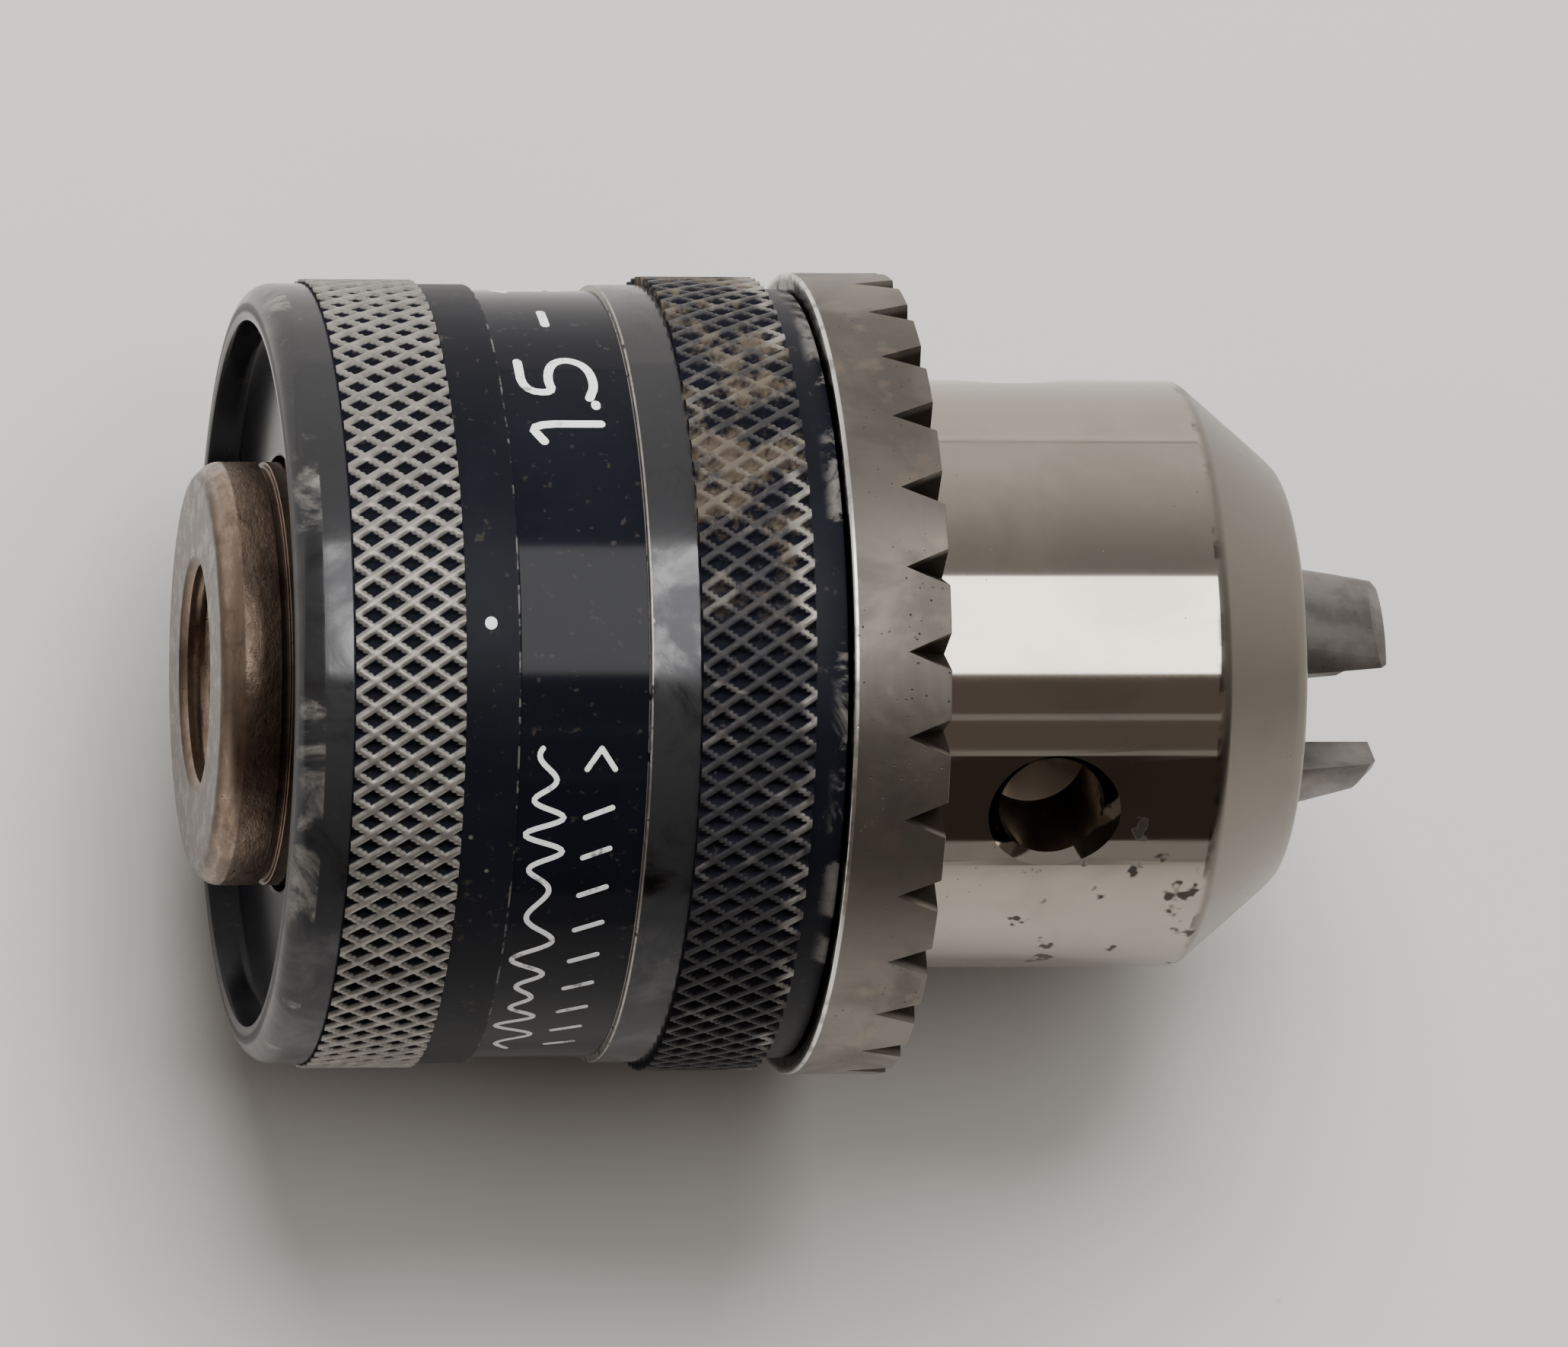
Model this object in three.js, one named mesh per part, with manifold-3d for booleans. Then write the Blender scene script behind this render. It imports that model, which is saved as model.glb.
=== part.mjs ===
// A keyed three-jaw drill chuck that grips 1.5 to 13 mm and screws onto a 1/2"-20 spindle.
//
// Sizes are in millimetres. +X runs along the chuck's axis and out of the nose, +Z is up, and the
// origin is the centre of the rear face, where the body seats against the spindle's shoulder.
// Angles round the axis count from +Z towards +Y.
//
// Turning the sleeve clockwise, as seen from the nose, turns the split nut on its ball race. The
// nut's conical thread then feeds the three jaws forwards and inwards along their slanting bores.

import * as THREE from 'three';
import { mergeVertices } from 'three/addons/utils/BufferGeometryUtils.js';
import Module from 'manifold-3d';

const { PI, sin, cos, tan, atan, atan2, max } = Math;

// ---------------------------------------------------------------- fits
const FIT = 0.3; // running clearance between pieces that slide or turn on each other
const SEAT = 0.15; // gap between pieces that are pressed or bear on each other
const BALL_GAP = 0.1; // gap between a thrust ball and its washers

// ---------------------------------------------------------------- body
const BODY_LENGTH = 63;
const BOSS_RADIUS = 12.2; // rear hub
const BOSS_LENGTH = 4.8; // the hub's length behind the sleeve's rear wall
const BOSS_LIP = 0.9; // chamfer round the hub's rear edge
const BOSS_GROOVE_WIDTH = 0.5;
const BOSS_GROOVE_DEPTH = 0.35;
const BOSS_COLLAR = 0.85; // the hub's strip between its groove and the sleeve
const REGISTER_STEP = 0.2; // the race's seat is this much larger than the nose
const SPINDLE_BORE_RADIUS = 5.9;
const SPINDLE_DEPTH = 17;
const SPINDLE_CHAMFER = 0.8;
const WEB = 3; // wall between the spindle bore and the tool bore
const SCREW_HOLE_RADIUS = 3.4; // clears the spindle's retaining screw
const TOOL_BORE_RADIUS = 6.7;
const NOSE_RADIUS = 17.1;
const NOSE_CONE_LENGTH = 5.8;
const NOSE_FACE_RADIUS = 12.1;
const NOSE_RIM = 0.6; // chamfer round the front face

// ---------------------------------------------------------------- key pilot holes
const KEY_HOLE_RADIUS = 3.05;
const KEY_PINION_REACH = 7.5; // from the gear teeth's front to the holes' centres
const KEY_HOLE_WALL = 2; // between the holes' floors and the tool bore
const KEY_HOLE_COUNTERSINK = 0.7;

// ---------------------------------------------------------------- sleeve
const SLEEVE_LENGTH = 31.5;
const SLEEVE_WALL = 1.5; // from the bore to the plain lands
const SLEEVE_REAR_WALL = 1.8;
const SLEEVE_RIM = 1.9; // the rim stands this far behind the rear wall
const SLEEVE_RIM_WALL = 2.2; // from inside the rim to the plain lands
const SLEEVE_EDGE = 1.5; // rounding of the rim
const KNURL_REAR = { margin: 3.2, length: 6.25, rise: 0.25 }; // margin: from the sleeve's end
const KNURL_FRONT = { margin: 2.1, length: 6.5, rise: 0.5 };
const LAND_REAR = 3.15; // between the rear knurl and the band for marks
const LAND_FRONT = 2.9; // between that band and the front knurl
const MARK_DEPTH = 0.35;
const FRONT_STEP = 0.2; // the sleeve's front end is this much smaller than its lands

// ---------------------------------------------------------------- gear ring
const GEAR_RIM = 0.75; // the ring stands this far above the sleeve's lands
const GEAR_WIDTH = 5.6;
const GEAR_LIP = 1.4; // front wall that covers the nut
const GEAR_SPIGOT_WALL = 1.15; // spigot that fits in the sleeve and holds the nut
const TEETH = 30;
const TOOTH_LENGTH = 2.5; // along the axis, at the ring's outside
const TOOTH_VALLEY_DEPTH = 2.5; // radially, at the front face
const TOOTH_VALLEY_WIDTH = 2.2; // at the front outer edge
const GEAR_TURN = 3; // angle of the first valley, as drawn

// ---------------------------------------------------------------- nut and thread
const NUT_LENGTH = 9;
const NUT_SPLIT = 0.4; // gap between the nut's halves
const NUT_SPLIT_ANGLE = 35;
const PITCH = 2.5; // along the jaws, for one turn of the nut
const THREAD_DEPTH = 1.2;
const RIDGE_CREST = 0.25; // half widths of the nut's ridge
const RIDGE_ROOT = 0.6;

// ---------------------------------------------------------------- ball race
const RACE_THICKNESS = 0.8;
const RACE_WIDTH = 3.1; // of a washer, from its hole to its outside
const BALLS = 24;
const BALL_RADIUS = 1;
const CAGE_THICKNESS = 0.9;
const CAGE_HOLE_CLEARANCE = 0.15;

// ---------------------------------------------------------------- jaws
const JAW_RADIUS = 4.4;
const JAW_MOUTH_RADIUS = 8; // from the axis to the jaws' backs, at the front face
const JAW_RACE_GAP = 0.2; // the jaws' backs pass this far inside the rear washer
const JAW_REACH = 6; // tips beyond the front face, as drawn
const GRIP_RADIUS = 4; // from the axis to the gripping lands, as drawn
const GRIP_LARGEST = 6.5; // with the jaws fully open
const GRIP_LAND = 1.2; // width of a gripping land
const GRIP_FLANK = 60; // from a jaw's middle plane to each flank
const JAW_TIP = 0.8; // bevel at the back of a tip
const JAW_TIP_FACE = 0.1; // the bevel starts this far outside the jaw's back
const JAW_ANGLES = [20, 140, 260];
const KEY_HOLE_ANGLES = JAW_ANGLES.map((degrees) => degrees + 60);

// ---------------------------------------------------------------- facets
const ROUND = 36; // sides of the large round pieces
const SMALL_ROUND = 24; // sides of bores and jaws
const THREAD_ROUND = 24; // sides of one turn of thread
const CAGE_ROUND = 8; // sides of the cage's holes
const PAST = 1; // how far a cutter runs past what it cuts

// ---------------------------------------------------------------- places along the axis
const SLEEVE_REAR = BOSS_LENGTH - SLEEVE_RIM;
const SLEEVE_INSIDE = BOSS_LENGTH + SLEEVE_REAR_WALL;
const GEAR_REAR = SLEEVE_REAR + SLEEVE_LENGTH;
const GEAR_FRONT = GEAR_REAR + GEAR_WIDTH;
const NUT_FRONT = GEAR_FRONT - GEAR_LIP - SEAT;
const NUT_REAR = NUT_FRONT - NUT_LENGTH;
const RACE_FRONT_REAR = NUT_REAR - SEAT - RACE_THICKNESS;
const BALL_PLACE = RACE_FRONT_REAR - BALL_GAP - BALL_RADIUS;
const RACE_REAR_REAR = BALL_PLACE - BALL_RADIUS - BALL_GAP - RACE_THICKNESS;
const FLANGE_REAR = SLEEVE_INSIDE + FIT;
const FLANGE_FRONT = RACE_REAR_REAR - SEAT;
const KEY_HOLE_PLACE = GEAR_FRONT + KEY_PINION_REACH;

// ---------------------------------------------------------------- radii that follow
const REGISTER_RADIUS = NOSE_RADIUS + REGISTER_STEP;
const RACE_INSIDE = REGISTER_RADIUS + FIT;
const RACE_OUTSIDE = RACE_INSIDE + RACE_WIDTH;
const BALL_PITCH = (RACE_OUTSIDE + RACE_INSIDE) / 2;
const SLEEVE_BORE = RACE_OUTSIDE + FIT;
const SLEEVE_RADIUS = SLEEVE_BORE + SLEEVE_WALL; // over the plain lands
const FLANGE_RADIUS = SLEEVE_BORE - FIT;
const GEAR_RADIUS = SLEEVE_RADIUS + GEAR_RIM;
const GEAR_SPIGOT = SLEEVE_BORE - SEAT;
const GEAR_BORE = GEAR_SPIGOT - GEAR_SPIGOT_WALL;
const NUT_RADIUS = GEAR_BORE - SEAT;

// ---------------------------------------------------------------- the jaws' cone
const NUT_MIDDLE = (NUT_FRONT + NUT_REAR) / 2;
const JAW_RISE = RACE_INSIDE - JAW_RACE_GAP - JAW_MOUTH_RADIUS;
const JAW_SLOPE = JAW_RISE / (BODY_LENGTH - RACE_REAR_REAR);
const JAW_ANGLE = atan(JAW_SLOPE);
const JAW_TRAVEL_OPEN = (GRIP_LARGEST - GRIP_RADIUS) / sin(JAW_ANGLE);

// Distance from the axis to the jaws' backs at a place along it, as drawn.
const backRadius = (x) => JAW_MOUTH_RADIUS + (BODY_LENGTH - x) * JAW_SLOPE;
// Distance from the axis to a jaw's own centre line.
const jawCentre = (x) => backRadius(x) - JAW_RADIUS / cos(JAW_ANGLE);
const NUT_GROOVE_RADIUS = backRadius(NUT_FRONT) - THREAD_DEPTH / cos(JAW_ANGLE);

const wasm = await Module();
wasm.setup();

const radians = (degrees) => (degrees * PI) / 180;

// ---------------------------------------------------------------- solids

// Turns a closed geometry into a solid whose faces point out.
function solid(geometry) {
  const bare = geometry.index ? geometry.toNonIndexed() : geometry.clone();
  bare.deleteAttribute('normal');
  bare.deleteAttribute('uv');
  const merged = mergeVertices(bare, 1e-5);
  const points = merged.attributes.position.array;
  const corners = [];
  const index = merged.index.array;
  let volume = 0;
  for (let i = 0; i < index.length; i += 3) {
    const [a, b, c] = [index[i], index[i + 1], index[i + 2]];
    if (a === b || b === c || c === a) continue;
    corners.push(a, b, c);
    const corner = (k) => new THREE.Vector3().fromArray(points, 3 * k);
    volume += corner(a).dot(corner(b).cross(corner(c)));
  }
  if (volume < 0) corners.reverse();
  return new wasm.Manifold(new wasm.Mesh({
    numProp: 3,
    vertProperties: new Float32Array(points),
    triVerts: new Uint32Array(corners),
  }));
}

// A solid turned about the X axis. The outline's points are [place along the axis, radius].
function turned(outline, sides = ROUND) {
  const closed = [...outline, outline[0]].map(([x, radius]) => new THREE.Vector2(radius, x));
  return solid(new THREE.LatheGeometry(closed, sides).rotateZ(-PI / 2));
}

// Swings a geometry that was made at the top of the chuck to its angle round the axis.
const swung = (geometry, degrees) => geometry.rotateX(-radians(degrees));

// A helix on the jaws' cone, one pitch forwards along the cone for each turn.
class ThreadPath extends THREE.Curve {
  constructor(from, to) {
    super();
    this.from = from;
    this.turns = (to - from) / (PITCH * cos(JAW_ANGLE));
  }

  angle(t) {
    return 2 * PI * (this.turns * t + this.from / (PITCH * cos(JAW_ANGLE)));
  }

  getPoint(t) {
    const x = this.from + t * this.turns * PITCH * cos(JAW_ANGLE);
    const radius = backRadius(x);
    return new THREE.Vector3(x, radius * cos(this.angle(t)), radius * sin(this.angle(t)));
  }

  // The section stands square to the cone: its first axis points away from the chuck's axis, and
  // its second points forwards along the cone.
  computeFrenetFrames(steps) {
    const frames = { tangents: [], normals: [], binormals: [] };
    for (let i = 0; i <= steps; i += 1) {
      const place = this.getPointAt(i / steps);
      const turn = atan2(place.z, place.y);
      const [c, s] = [cos(JAW_ANGLE), sin(JAW_ANGLE)];
      frames.normals.push(new THREE.Vector3(s, c * cos(turn), c * sin(turn)));
      frames.binormals.push(new THREE.Vector3(c, -s * cos(turn), -s * sin(turn)));
      frames.tangents.push(new THREE.Vector3(0, -sin(turn), cos(turn)));
    }
    return frames;
  }
}

// A thread ridge or groove: depths are measured outwards from the jaws' backs.
function thread(from, to, { outside, shoulder, floor, shoulderHalf, floorHalf }) {
  const path = new ThreadPath(from, to);
  const section = new THREE.Shape([
    new THREE.Vector2(outside, -shoulderHalf),
    new THREE.Vector2(outside, shoulderHalf),
    new THREE.Vector2(shoulder, shoulderHalf),
    new THREE.Vector2(floor, floorHalf),
    new THREE.Vector2(floor, -floorHalf),
    new THREE.Vector2(shoulder, -shoulderHalf),
  ]);
  const steps = Math.round(path.turns * THREAD_ROUND);
  return solid(new THREE.ExtrudeGeometry(section, { steps, extrudePath: path, bevelEnabled: false }));
}

// A bar along one jaw's centre line, between two places along the chuck's axis.
function jawBar(from, to, radius, degrees) {
  const length = (to - from) / cos(JAW_ANGLE);
  const middle = (from + to) / 2;
  const shape = new THREE.CylinderGeometry(radius, radius, length, SMALL_ROUND);
  shape.rotateZ(-PI / 2).rotateY(JAW_ANGLE).translate(middle, 0, jawCentre(middle));
  return solid(swung(shape, degrees));
}

// ---------------------------------------------------------------- chuck body

function keyHole(degrees) {
  const mouth = KEY_HOLE_RADIUS + KEY_HOLE_COUNTERSINK;
  const floor = TOOL_BORE_RADIUS + KEY_HOLE_WALL;
  const outline = [
    [0, floor],
    [KEY_HOLE_RADIUS, floor],
    [KEY_HOLE_RADIUS, NOSE_RADIUS - KEY_HOLE_COUNTERSINK],
    [mouth + PAST, NOSE_RADIUS + PAST],
    [0, NOSE_RADIUS + PAST],
    [0, floor],
  ].map(([radius, height]) => new THREE.Vector2(radius, height));
  const shape = new THREE.LatheGeometry(outline, SMALL_ROUND).rotateX(PI / 2);
  return solid(swung(shape.translate(KEY_HOLE_PLACE, 0, 0), degrees));
}

function chuckBody() {
  const collarRear = BOSS_LENGTH - BOSS_COLLAR;
  const grooveRear = collarRear - BOSS_GROOVE_WIDTH;
  const webFront = SPINDLE_DEPTH + WEB;
  let body = turned([
    [0, SPINDLE_BORE_RADIUS + SPINDLE_CHAMFER],
    [0, BOSS_RADIUS - BOSS_LIP],
    [BOSS_LIP, BOSS_RADIUS],
    [grooveRear, BOSS_RADIUS],
    [grooveRear, BOSS_RADIUS - BOSS_GROOVE_DEPTH],
    [collarRear, BOSS_RADIUS - BOSS_GROOVE_DEPTH],
    [collarRear, BOSS_RADIUS],
    [FLANGE_REAR, BOSS_RADIUS],
    [FLANGE_REAR, FLANGE_RADIUS],
    [FLANGE_FRONT, FLANGE_RADIUS],
    [FLANGE_FRONT, REGISTER_RADIUS],
    [NUT_REAR - FIT, REGISTER_RADIUS],
    [NUT_REAR - FIT, NUT_GROOVE_RADIUS],
    [NUT_FRONT + FIT, NUT_GROOVE_RADIUS],
    [NUT_FRONT + FIT, NOSE_RADIUS],
    [BODY_LENGTH - NOSE_CONE_LENGTH, NOSE_RADIUS],
    [BODY_LENGTH - NOSE_RIM, NOSE_FACE_RADIUS + NOSE_RIM],
    [BODY_LENGTH, NOSE_FACE_RADIUS],
    [BODY_LENGTH, TOOL_BORE_RADIUS],
    [webFront, TOOL_BORE_RADIUS],
    [webFront, SCREW_HOLE_RADIUS],
    [SPINDLE_DEPTH, SCREW_HOLE_RADIUS],
    [SPINDLE_DEPTH, SPINDLE_BORE_RADIUS],
    [SPINDLE_CHAMFER, SPINDLE_BORE_RADIUS],
  ]);
  const boreRear = jawEnds().rear - JAW_TRAVEL_OPEN * cos(JAW_ANGLE) - FIT;
  for (const degrees of JAW_ANGLES) {
    body = body.subtract(jawBar(boreRear, BODY_LENGTH + 2 * JAW_RADIUS, JAW_RADIUS + FIT, degrees));
  }
  for (const degrees of KEY_HOLE_ANGLES) body = body.subtract(keyHole(degrees));
  return body;
}

// ---------------------------------------------------------------- jaws

// Where a jaw's centre line starts and ends, as drawn. Fully open, the square rear end just clears
// the sleeve's bore at its outer corner and the body's rear web at its inner corner.
function jawEnds() {
  const back = JAW_TRAVEL_OPEN * cos(JAW_ANGLE);
  const corner = JAW_RADIUS * sin(JAW_ANGLE);
  const outerLimit = BODY_LENGTH - (FLANGE_RADIUS - JAW_MOUTH_RADIUS) / JAW_SLOPE - corner;
  const innerLimit = FLANGE_REAR + WEB + corner;
  return { rear: max(outerLimit, innerLimit) + back, tip: BODY_LENGTH + JAW_REACH };
}

// The wedge that leaves a jaw its gripping land, its two flanks and its square tip.
function gripWedge(rear, tip, degrees) {
  const depth = 4 * JAW_RADIUS + FLANGE_RADIUS;
  const spread = GRIP_LAND / 2 + depth * tan(radians(GRIP_FLANK));
  const section = new THREE.Shape([
    new THREE.Vector2(GRIP_RADIUS, -GRIP_LAND / 2),
    new THREE.Vector2(GRIP_RADIUS, GRIP_LAND / 2),
    new THREE.Vector2(GRIP_RADIUS + depth, spread),
    new THREE.Vector2(GRIP_RADIUS + depth, -spread),
  ]);
  const shape = new THREE.ExtrudeGeometry(section, { depth: tip - rear, bevelEnabled: false });
  return solid(swung(shape.rotateY(-PI / 2).translate(tip, 0, 0), degrees));
}

function jaw(degrees) {
  const { rear, tip } = jawEnds();
  const slack = 2 * JAW_RADIUS;
  let piece = jawBar(rear, tip + slack, JAW_RADIUS, degrees);
  piece = piece.intersect(gripWedge(rear - slack, tip, degrees));
  const tipBack = backRadius(tip);
  piece = piece.intersect(turned([
    [rear - slack, 0],
    [rear - slack, FLANGE_RADIUS + slack],
    [tip - JAW_TIP, FLANGE_RADIUS + slack],
    [tip - JAW_TIP, tipBack + JAW_TIP_FACE],
    [tip, tipBack + JAW_TIP_FACE - JAW_TIP],
    [tip, 0],
  ]));
  const threadFront = NUT_FRONT + JAW_TRAVEL_OPEN * cos(JAW_ANGLE) + PITCH / 2;
  return piece.subtract(thread(rear - PITCH, threadFront, {
    outside: THREAD_DEPTH,
    shoulder: 0,
    floor: -THREAD_DEPTH,
    shoulderHalf: RIDGE_ROOT + FIT,
    floorHalf: RIDGE_CREST + FIT,
  }));
}

// ---------------------------------------------------------------- sleeve

function sleeve() {
  const band = (from, to, change) => [
    [from, SLEEVE_RADIUS],
    [from, SLEEVE_RADIUS + change],
    [to, SLEEVE_RADIUS + change],
    [to, SLEEVE_RADIUS],
  ];
  const rearKnurl = SLEEVE_REAR + KNURL_REAR.margin;
  const rearKnurlEnd = rearKnurl + KNURL_REAR.length;
  const frontKnurlEnd = GEAR_REAR - KNURL_FRONT.margin;
  const frontKnurl = frontKnurlEnd - KNURL_FRONT.length;
  const front = GEAR_REAR - SEAT;
  const edge = [90, 60, 30, 0].map((degrees) => [
    SLEEVE_REAR + SLEEVE_EDGE * (1 - sin(radians(degrees))),
    SLEEVE_RADIUS - SLEEVE_EDGE * (1 - cos(radians(degrees))),
  ]);
  return turned([
    [BOSS_LENGTH, BOSS_RADIUS + FIT],
    [BOSS_LENGTH, SLEEVE_RADIUS - SLEEVE_RIM_WALL],
    [SLEEVE_REAR, SLEEVE_RADIUS - SLEEVE_RIM_WALL],
    ...edge,
    ...band(rearKnurl, rearKnurlEnd, KNURL_REAR.rise),
    ...band(rearKnurlEnd + LAND_REAR, frontKnurl - LAND_FRONT, -MARK_DEPTH),
    ...band(frontKnurl, frontKnurlEnd, KNURL_FRONT.rise).slice(0, 3),
    [frontKnurlEnd, SLEEVE_RADIUS - FRONT_STEP],
    [front, SLEEVE_RADIUS - FRONT_STEP],
    [front, SLEEVE_BORE],
    [SLEEVE_INSIDE, SLEEVE_BORE],
    [SLEEVE_INSIDE, BOSS_RADIUS + FIT],
  ]);
}

// ---------------------------------------------------------------- gear ring

// The V that is cut between two teeth. Its root slants from the ring's outside, behind the teeth,
// down to the front face.
function toothValley(degrees) {
  const slant = atan2(TOOTH_VALLEY_DEPTH, TOOTH_LENGTH);
  const height = TOOTH_VALLEY_DEPTH * cos(slant);
  const open = 3; // the V is made this many times as high as the valley is deep
  const section = new THREE.Shape([
    new THREE.Vector2(0, 0),
    new THREE.Vector2((open * TOOTH_VALLEY_WIDTH) / 2, open * height),
    new THREE.Vector2((-open * TOOTH_VALLEY_WIDTH) / 2, open * height),
  ]);
  const length = 4 * TOOTH_LENGTH;
  const shape = new THREE.ExtrudeGeometry(section, { depth: length, bevelEnabled: false });
  shape.translate(0, 0, -length / 2).rotateY(PI / 2).rotateX(PI / 2).rotateY(slant);
  return solid(swung(shape.translate(GEAR_FRONT - TOOTH_LENGTH, 0, GEAR_RADIUS), degrees));
}

function gearRing() {
  let ring = turned([
    [NUT_REAR + SEAT, GEAR_BORE],
    [NUT_REAR + SEAT, GEAR_SPIGOT],
    [GEAR_REAR, GEAR_SPIGOT],
    [GEAR_REAR, GEAR_RADIUS],
    [GEAR_FRONT, GEAR_RADIUS],
    [GEAR_FRONT, NOSE_RADIUS + FIT],
    [GEAR_FRONT - GEAR_LIP, NOSE_RADIUS + FIT],
    [GEAR_FRONT - GEAR_LIP, GEAR_BORE],
  ]);
  for (let i = 0; i < TEETH; i += 1) {
    ring = ring.subtract(toothValley(GEAR_TURN + (i * 360) / TEETH));
  }
  return ring;
}

// ---------------------------------------------------------------- split nut

// One half of the nut: the side of the split that the given angle points to.
function nutHalf(degrees) {
  const cone = (x) => backRadius(x) + FIT / cos(JAW_ANGLE);
  const blank = (inside) => turned([
    [NUT_REAR, inside(NUT_REAR)],
    [NUT_REAR, NUT_RADIUS],
    [NUT_FRONT, NUT_RADIUS],
    [NUT_FRONT, inside(NUT_FRONT)],
  ]);
  const ridge = thread(NUT_REAR - PITCH, NUT_FRONT + PITCH, {
    outside: FIT + THREAD_DEPTH / 2,
    shoulder: FIT,
    floor: FIT - THREAD_DEPTH,
    shoulderHalf: RIDGE_ROOT,
    floorHalf: RIDGE_CREST,
  });
  const room = blank((x) => cone(x) - 2 * THREAD_DEPTH);
  const block = 2 * NUT_RADIUS + PAST;
  const side = new THREE.BoxGeometry(block, block, block);
  side.translate(NUT_MIDDLE, 0, (block + NUT_SPLIT) / 2);
  return blank(cone).add(ridge.intersect(room)).intersect(solid(swung(side, degrees)));
}

// ---------------------------------------------------------------- ball race

const raceWasher = (rear) => turned([
  [rear, RACE_INSIDE],
  [rear, RACE_OUTSIDE],
  [rear + RACE_THICKNESS, RACE_OUTSIDE],
  [rear + RACE_THICKNESS, RACE_INSIDE],
]);

const ballAngle = (i) => (i * 360) / BALLS;

function ballCage() {
  let cage = turned([
    [BALL_PLACE - CAGE_THICKNESS / 2, RACE_INSIDE],
    [BALL_PLACE - CAGE_THICKNESS / 2, RACE_OUTSIDE],
    [BALL_PLACE + CAGE_THICKNESS / 2, RACE_OUTSIDE],
    [BALL_PLACE + CAGE_THICKNESS / 2, RACE_INSIDE],
  ]);
  for (let i = 0; i < BALLS; i += 1) {
    const radius = BALL_RADIUS + CAGE_HOLE_CLEARANCE;
    const hole = new THREE.CylinderGeometry(radius, radius, CAGE_THICKNESS + PAST, CAGE_ROUND);
    hole.rotateZ(PI / 2).translate(BALL_PLACE, 0, BALL_PITCH);
    cage = cage.subtract(solid(swung(hole, ballAngle(i))));
  }
  return cage;
}

function ball(i) {
  const shape = new THREE.IcosahedronGeometry(BALL_RADIUS, 1).translate(BALL_PLACE, 0, BALL_PITCH);
  return solid(swung(shape, ballAngle(i)));
}

// ---------------------------------------------------------------- materials

const steel = (color, roughness) =>
  new THREE.MeshStandardMaterial({ color, roughness, metalness: 1 });

const bodySteel = steel(0x968f84, 0.35);
const blackSteel = new THREE.MeshStandardMaterial({ color: 0x191b21, roughness: 0.3, metalness: 0.6 });
const gearSteel = steel(0x767068, 0.5);
const jawSteel = steel(0x787370, 0.45);
const nutSteel = steel(0x5c5a58, 0.5);
const raceSteel = steel(0xa9a8a4, 0.2);
const cageBrass = steel(0xb08d4f, 0.4);

// ---------------------------------------------------------------- assembly

const chuck = new THREE.Group();

function place(name, piece, material) {
  const { vertProperties, triVerts } = piece.getMesh();
  const geometry = new THREE.BufferGeometry();
  geometry.setAttribute('position', new THREE.BufferAttribute(vertProperties, 3));
  geometry.setIndex(new THREE.BufferAttribute(triVerts, 1));
  geometry.computeVertexNormals();
  const mesh = new THREE.Mesh(geometry, material);
  mesh.name = name;
  chuck.add(mesh);
}

place('chuck_body', chuckBody(), bodySteel);
JAW_ANGLES.forEach((degrees, i) => place(`jaw_${i + 1}`, jaw(degrees), jawSteel));
place('sleeve', sleeve(), blackSteel);
place('gear_ring', gearRing(), gearSteel);
place('nut_half_a', nutHalf(NUT_SPLIT_ANGLE), nutSteel);
place('nut_half_b', nutHalf(NUT_SPLIT_ANGLE + 180), nutSteel);
place('race_rear', raceWasher(RACE_REAR_REAR), raceSteel);
place('race_front', raceWasher(RACE_FRONT_REAR), raceSteel);
place('ball_cage', ballCage(), cageBrass);
for (let i = 0; i < BALLS; i += 1) {
  place(`ball_${String(i + 1).padStart(2, '0')}`, ball(i), raceSteel);
}

export default chuck;
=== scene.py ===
"""A keyed three-jaw drill chuck, dressed over its fixed frame.

The chuck's axis is X, with the nose at the +X end. Sizes are in metres. Angles round the axis count
from +Z towards +Y.
"""

import math

import bmesh
import bpy
import numpy as np
from bpy.props import (
    FloatProperty,
    FloatVectorProperty,
    IntProperty,
    PointerProperty,
)
from mathutils import Matrix, Vector


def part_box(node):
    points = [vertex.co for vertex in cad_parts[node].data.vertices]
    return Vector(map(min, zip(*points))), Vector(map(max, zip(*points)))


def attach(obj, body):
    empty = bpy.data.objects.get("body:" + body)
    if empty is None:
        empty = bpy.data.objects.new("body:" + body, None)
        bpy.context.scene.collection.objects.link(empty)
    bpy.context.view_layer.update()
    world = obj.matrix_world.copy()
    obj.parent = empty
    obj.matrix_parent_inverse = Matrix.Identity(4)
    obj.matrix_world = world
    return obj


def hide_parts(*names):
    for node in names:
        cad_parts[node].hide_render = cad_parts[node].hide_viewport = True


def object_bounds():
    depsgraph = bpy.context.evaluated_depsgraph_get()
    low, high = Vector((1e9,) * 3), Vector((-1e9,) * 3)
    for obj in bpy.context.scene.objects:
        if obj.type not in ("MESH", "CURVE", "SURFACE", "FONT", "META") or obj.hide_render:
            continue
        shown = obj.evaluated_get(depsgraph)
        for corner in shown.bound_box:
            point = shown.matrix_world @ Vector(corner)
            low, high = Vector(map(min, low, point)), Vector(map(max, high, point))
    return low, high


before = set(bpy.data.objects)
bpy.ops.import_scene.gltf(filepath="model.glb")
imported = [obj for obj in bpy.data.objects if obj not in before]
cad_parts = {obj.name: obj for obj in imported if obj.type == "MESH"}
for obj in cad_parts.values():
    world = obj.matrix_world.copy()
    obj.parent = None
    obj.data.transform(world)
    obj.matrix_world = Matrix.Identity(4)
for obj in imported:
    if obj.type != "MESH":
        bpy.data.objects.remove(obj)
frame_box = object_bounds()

bl_info = {
    "name": "Keyed drill chuck",
    "version": (1, 0, 0),
    "blender": (4, 5, 0),
    "location": "View3D > Sidebar > Chuck",
    "description": "Makes a three-jaw keyed drill chuck piece by piece",
    "category": "Add Mesh",
}

MM = 0.001
TURN = 2 * math.pi


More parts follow.
